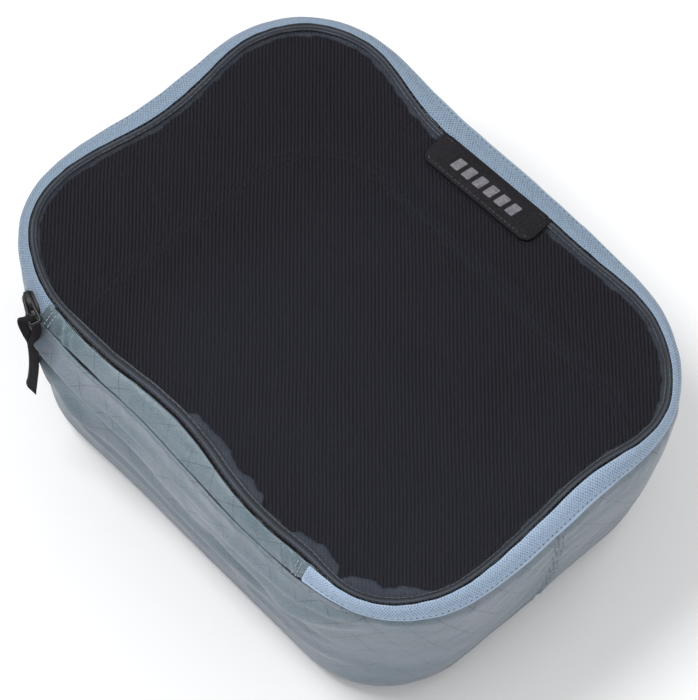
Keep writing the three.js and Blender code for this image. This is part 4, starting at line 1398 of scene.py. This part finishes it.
def pull_webbing():
    """One length, up the outside of the tail, round through the link, down the inside."""
    top, bottom = np.array([-75.2, -96.0, 74.2]), np.array([-75.1, -100.1, 38.0])
    down = unit(bottom - top)
    wide = unit(np.array([0.42, 0.88, 0.10]))
    wide = unit(wide - (wide @ down) * down)
    thick = np.cross(down, wide)
    thick = thick * (-1 if thick[0] > 0 else 1)              # towards -x
    bow = np.array([0.75, 0.75, 0])

    def tail(share):
        swing = math.sin(math.pi * min(1.0, share * 1.06)) * 0.95
        return top + (bottom - top) * share + bow * swing

    outer = [tail(share) + thick * 0.62 for share in np.linspace(1, 0.04, 14)]
    inner = [tail(share) - thick * 0.62 for share in np.linspace(0.04, 0.985, 14)]
    loop = [(-77.4, -96.2, 77.2), (-79.3, -96.1, 80.3), (-80.6, -95.7, 82.2),
            (-80.4, -95.0, 84.1), (-79.4, -94.6, 84.4), (-77.6, -93.3, 83.0),
            (-76.2, -92.6, 81.5), (-75.0, -92.9, 79.4), (-74.6, -94.2, 77.2)]
    path = smooth_path(outer + loop + inner, 190, sigma=0.7)
    tangent = unit(np.gradient(path, axis=0))
    up = unit(wide - (tangent @ wide)[:, None] * tangent)
    strap = sweep("pull_webbing_loop", path, oval_section(0.50, 1.85, 28, 5.0), up, WEBBING)
    # the free end is cut on the slant
    points = np.array([vertex.co for vertex in strap.data.vertices]) / MM
    along, across = (points - top) @ down, (points - top) @ wide
    slant = smoothstep(0.70, 1.0, along / np.linalg.norm(bottom - top)) * across * 2.1
    points = points + down * slant[:, None]
    strap.data.vertices.foreach_set("co", (points * MM).astype(np.float32).ravel())
    strap.data.update()
    attach(strap, "pull_webbing", "pull_tape", rides="pull_webbing")

    places = []
    for share in (0.10, 0.13, 0.16, 0.19):
        for k in range(-1, 2):
            middle = tail(share) + wide * (k * 1.25)
            places.append((middle + thick * 1.2, wide, thick))
            places.append((middle - thick * 1.2, wide, -thick))
    tack = stitches("pull_webbing_bartack", 1.1, 0.16, 0.8, places, THREAD_BLACK)
    attach(tack, "thread", "pull_tape_bartack", rides="pull_webbing")


def zip_stops():
    """Small bent clips over the ends of the coils."""
    bend = ((1.9, 3.0), (1.8, 1.5), (1.0, 1.2), (0.2, 1.4), (0.1, 3.0))    # inset, drop
    for side, x in (("left", -90.8), ("right", 89.0)):
        arc = front_arc(x)
        path = smooth_path([rim_offset(arc, *point) for point in bend], 40, sigma=0.25)
        clip = sweep("zip_stop_clip_" + side, path, oval_section(0.85, 0.22, 14, 3.5),
                     path - rim_offset(arc, 1.0, 2.4), METAL)
        attach(clip, "black_metal", "zip_stop_" + side)


# ------------------------------------------------------------------ stage, in metres
def stage_floor():
    count = 24
    ticks = np.linspace(-3, 3, count)
    index = np.arange(count * count).reshape(count, count)
    mesh = bpy.data.meshes.new("floor")
    mesh.from_pydata([(x, y, -0.0002) for x in ticks for y in ticks], [],
                     quads(index)[:, (1, 2, 3, 0)].tolist())
    mesh.materials.append(pale_floor("floor_pale"))
    floor = bpy.data.objects.new("floor", mesh)
    COLLECTION.objects.link(floor)


def area_light(name, location, size, power):
    """Disk light aimed at the case."""
    light = bpy.data.lights.new(name, "AREA")
    light.energy, light.size, light.shape = power, size, "DISK"
    lamp = bpy.data.objects.new(name, light)
    lamp.location = location
    aim = Vector((0, 0, 0.03)) - Vector(location)
    lamp.rotation_euler = aim.to_track_quat("-Z", "Y").to_euler()
    COLLECTION.objects.link(lamp)


def stage_world(scene):
    world = bpy.data.worlds.new("studio")
    world.use_nodes = True
    background = world.node_tree.nodes["Background"]
    background.inputs["Color"].default_value = (1.0, 1.0, 1.0, 1)
    background.inputs["Strength"].default_value = 0.55
    scene.world = world
    scene.view_settings.view_transform = "Standard"
    scene.view_settings.look = "None"


def stage_camera(scene):
    """Long lens from the front right, high up."""
    azimuth, elevation, distance = math.radians(48.0), math.radians(62.5), 1.367
    back = Vector((math.sin(azimuth) * math.cos(elevation),
                   -math.cos(azimuth) * math.cos(elevation), math.sin(elevation)))
    lens = bpy.data.cameras.new("camera")
    lens.lens, lens.sensor_width, lens.sensor_fit = 180.0, 36.0, "AUTO"
    lens.clip_start, lens.clip_end = 0.05, 20
    camera = bpy.data.objects.new("camera", lens)
    camera.location = Vector((0, 0, 0.05)) + back * distance
    camera.rotation_euler = (-back).to_track_quat("-Z", "Y").to_euler()
    COLLECTION.objects.link(camera)
    scene.camera = camera


# ------------------------------------------------------------------ build everything
knit_band()
band_stitches()
hem_tape()
overlocked_allowance()
mesh_lid()
zip_flap()
flap_stitches()
zip_halves()
wall_cloth("wall_front_cloth", SEAM_LEFT - LOOP + 0.06, SEAM_RIGHT - 0.06, "front_wall")
wall_cloth("wall_rear_cloth", SEAM_RIGHT + 0.06, SEAM_LEFT - 0.06, "rear_wall")
wall_lip()
side_seam_stitches()
bottom_cloth()
bindings()
patch_badge()
patch_stitches()
patch_lozenges()
slider()
puller_link()
pull_webbing()
zip_stops()
stage_floor()
area_light("key", (-0.62, -0.36, 1.30), size=0.6, power=12.8)
area_light("fill", (0.95, -0.70, 0.85), size=0.9, power=2.4)
area_light("back", (0.2, 1.0, 1.1), size=0.8, power=4.5)
stage_world(bpy.context.scene)
stage_camera(bpy.context.scene)
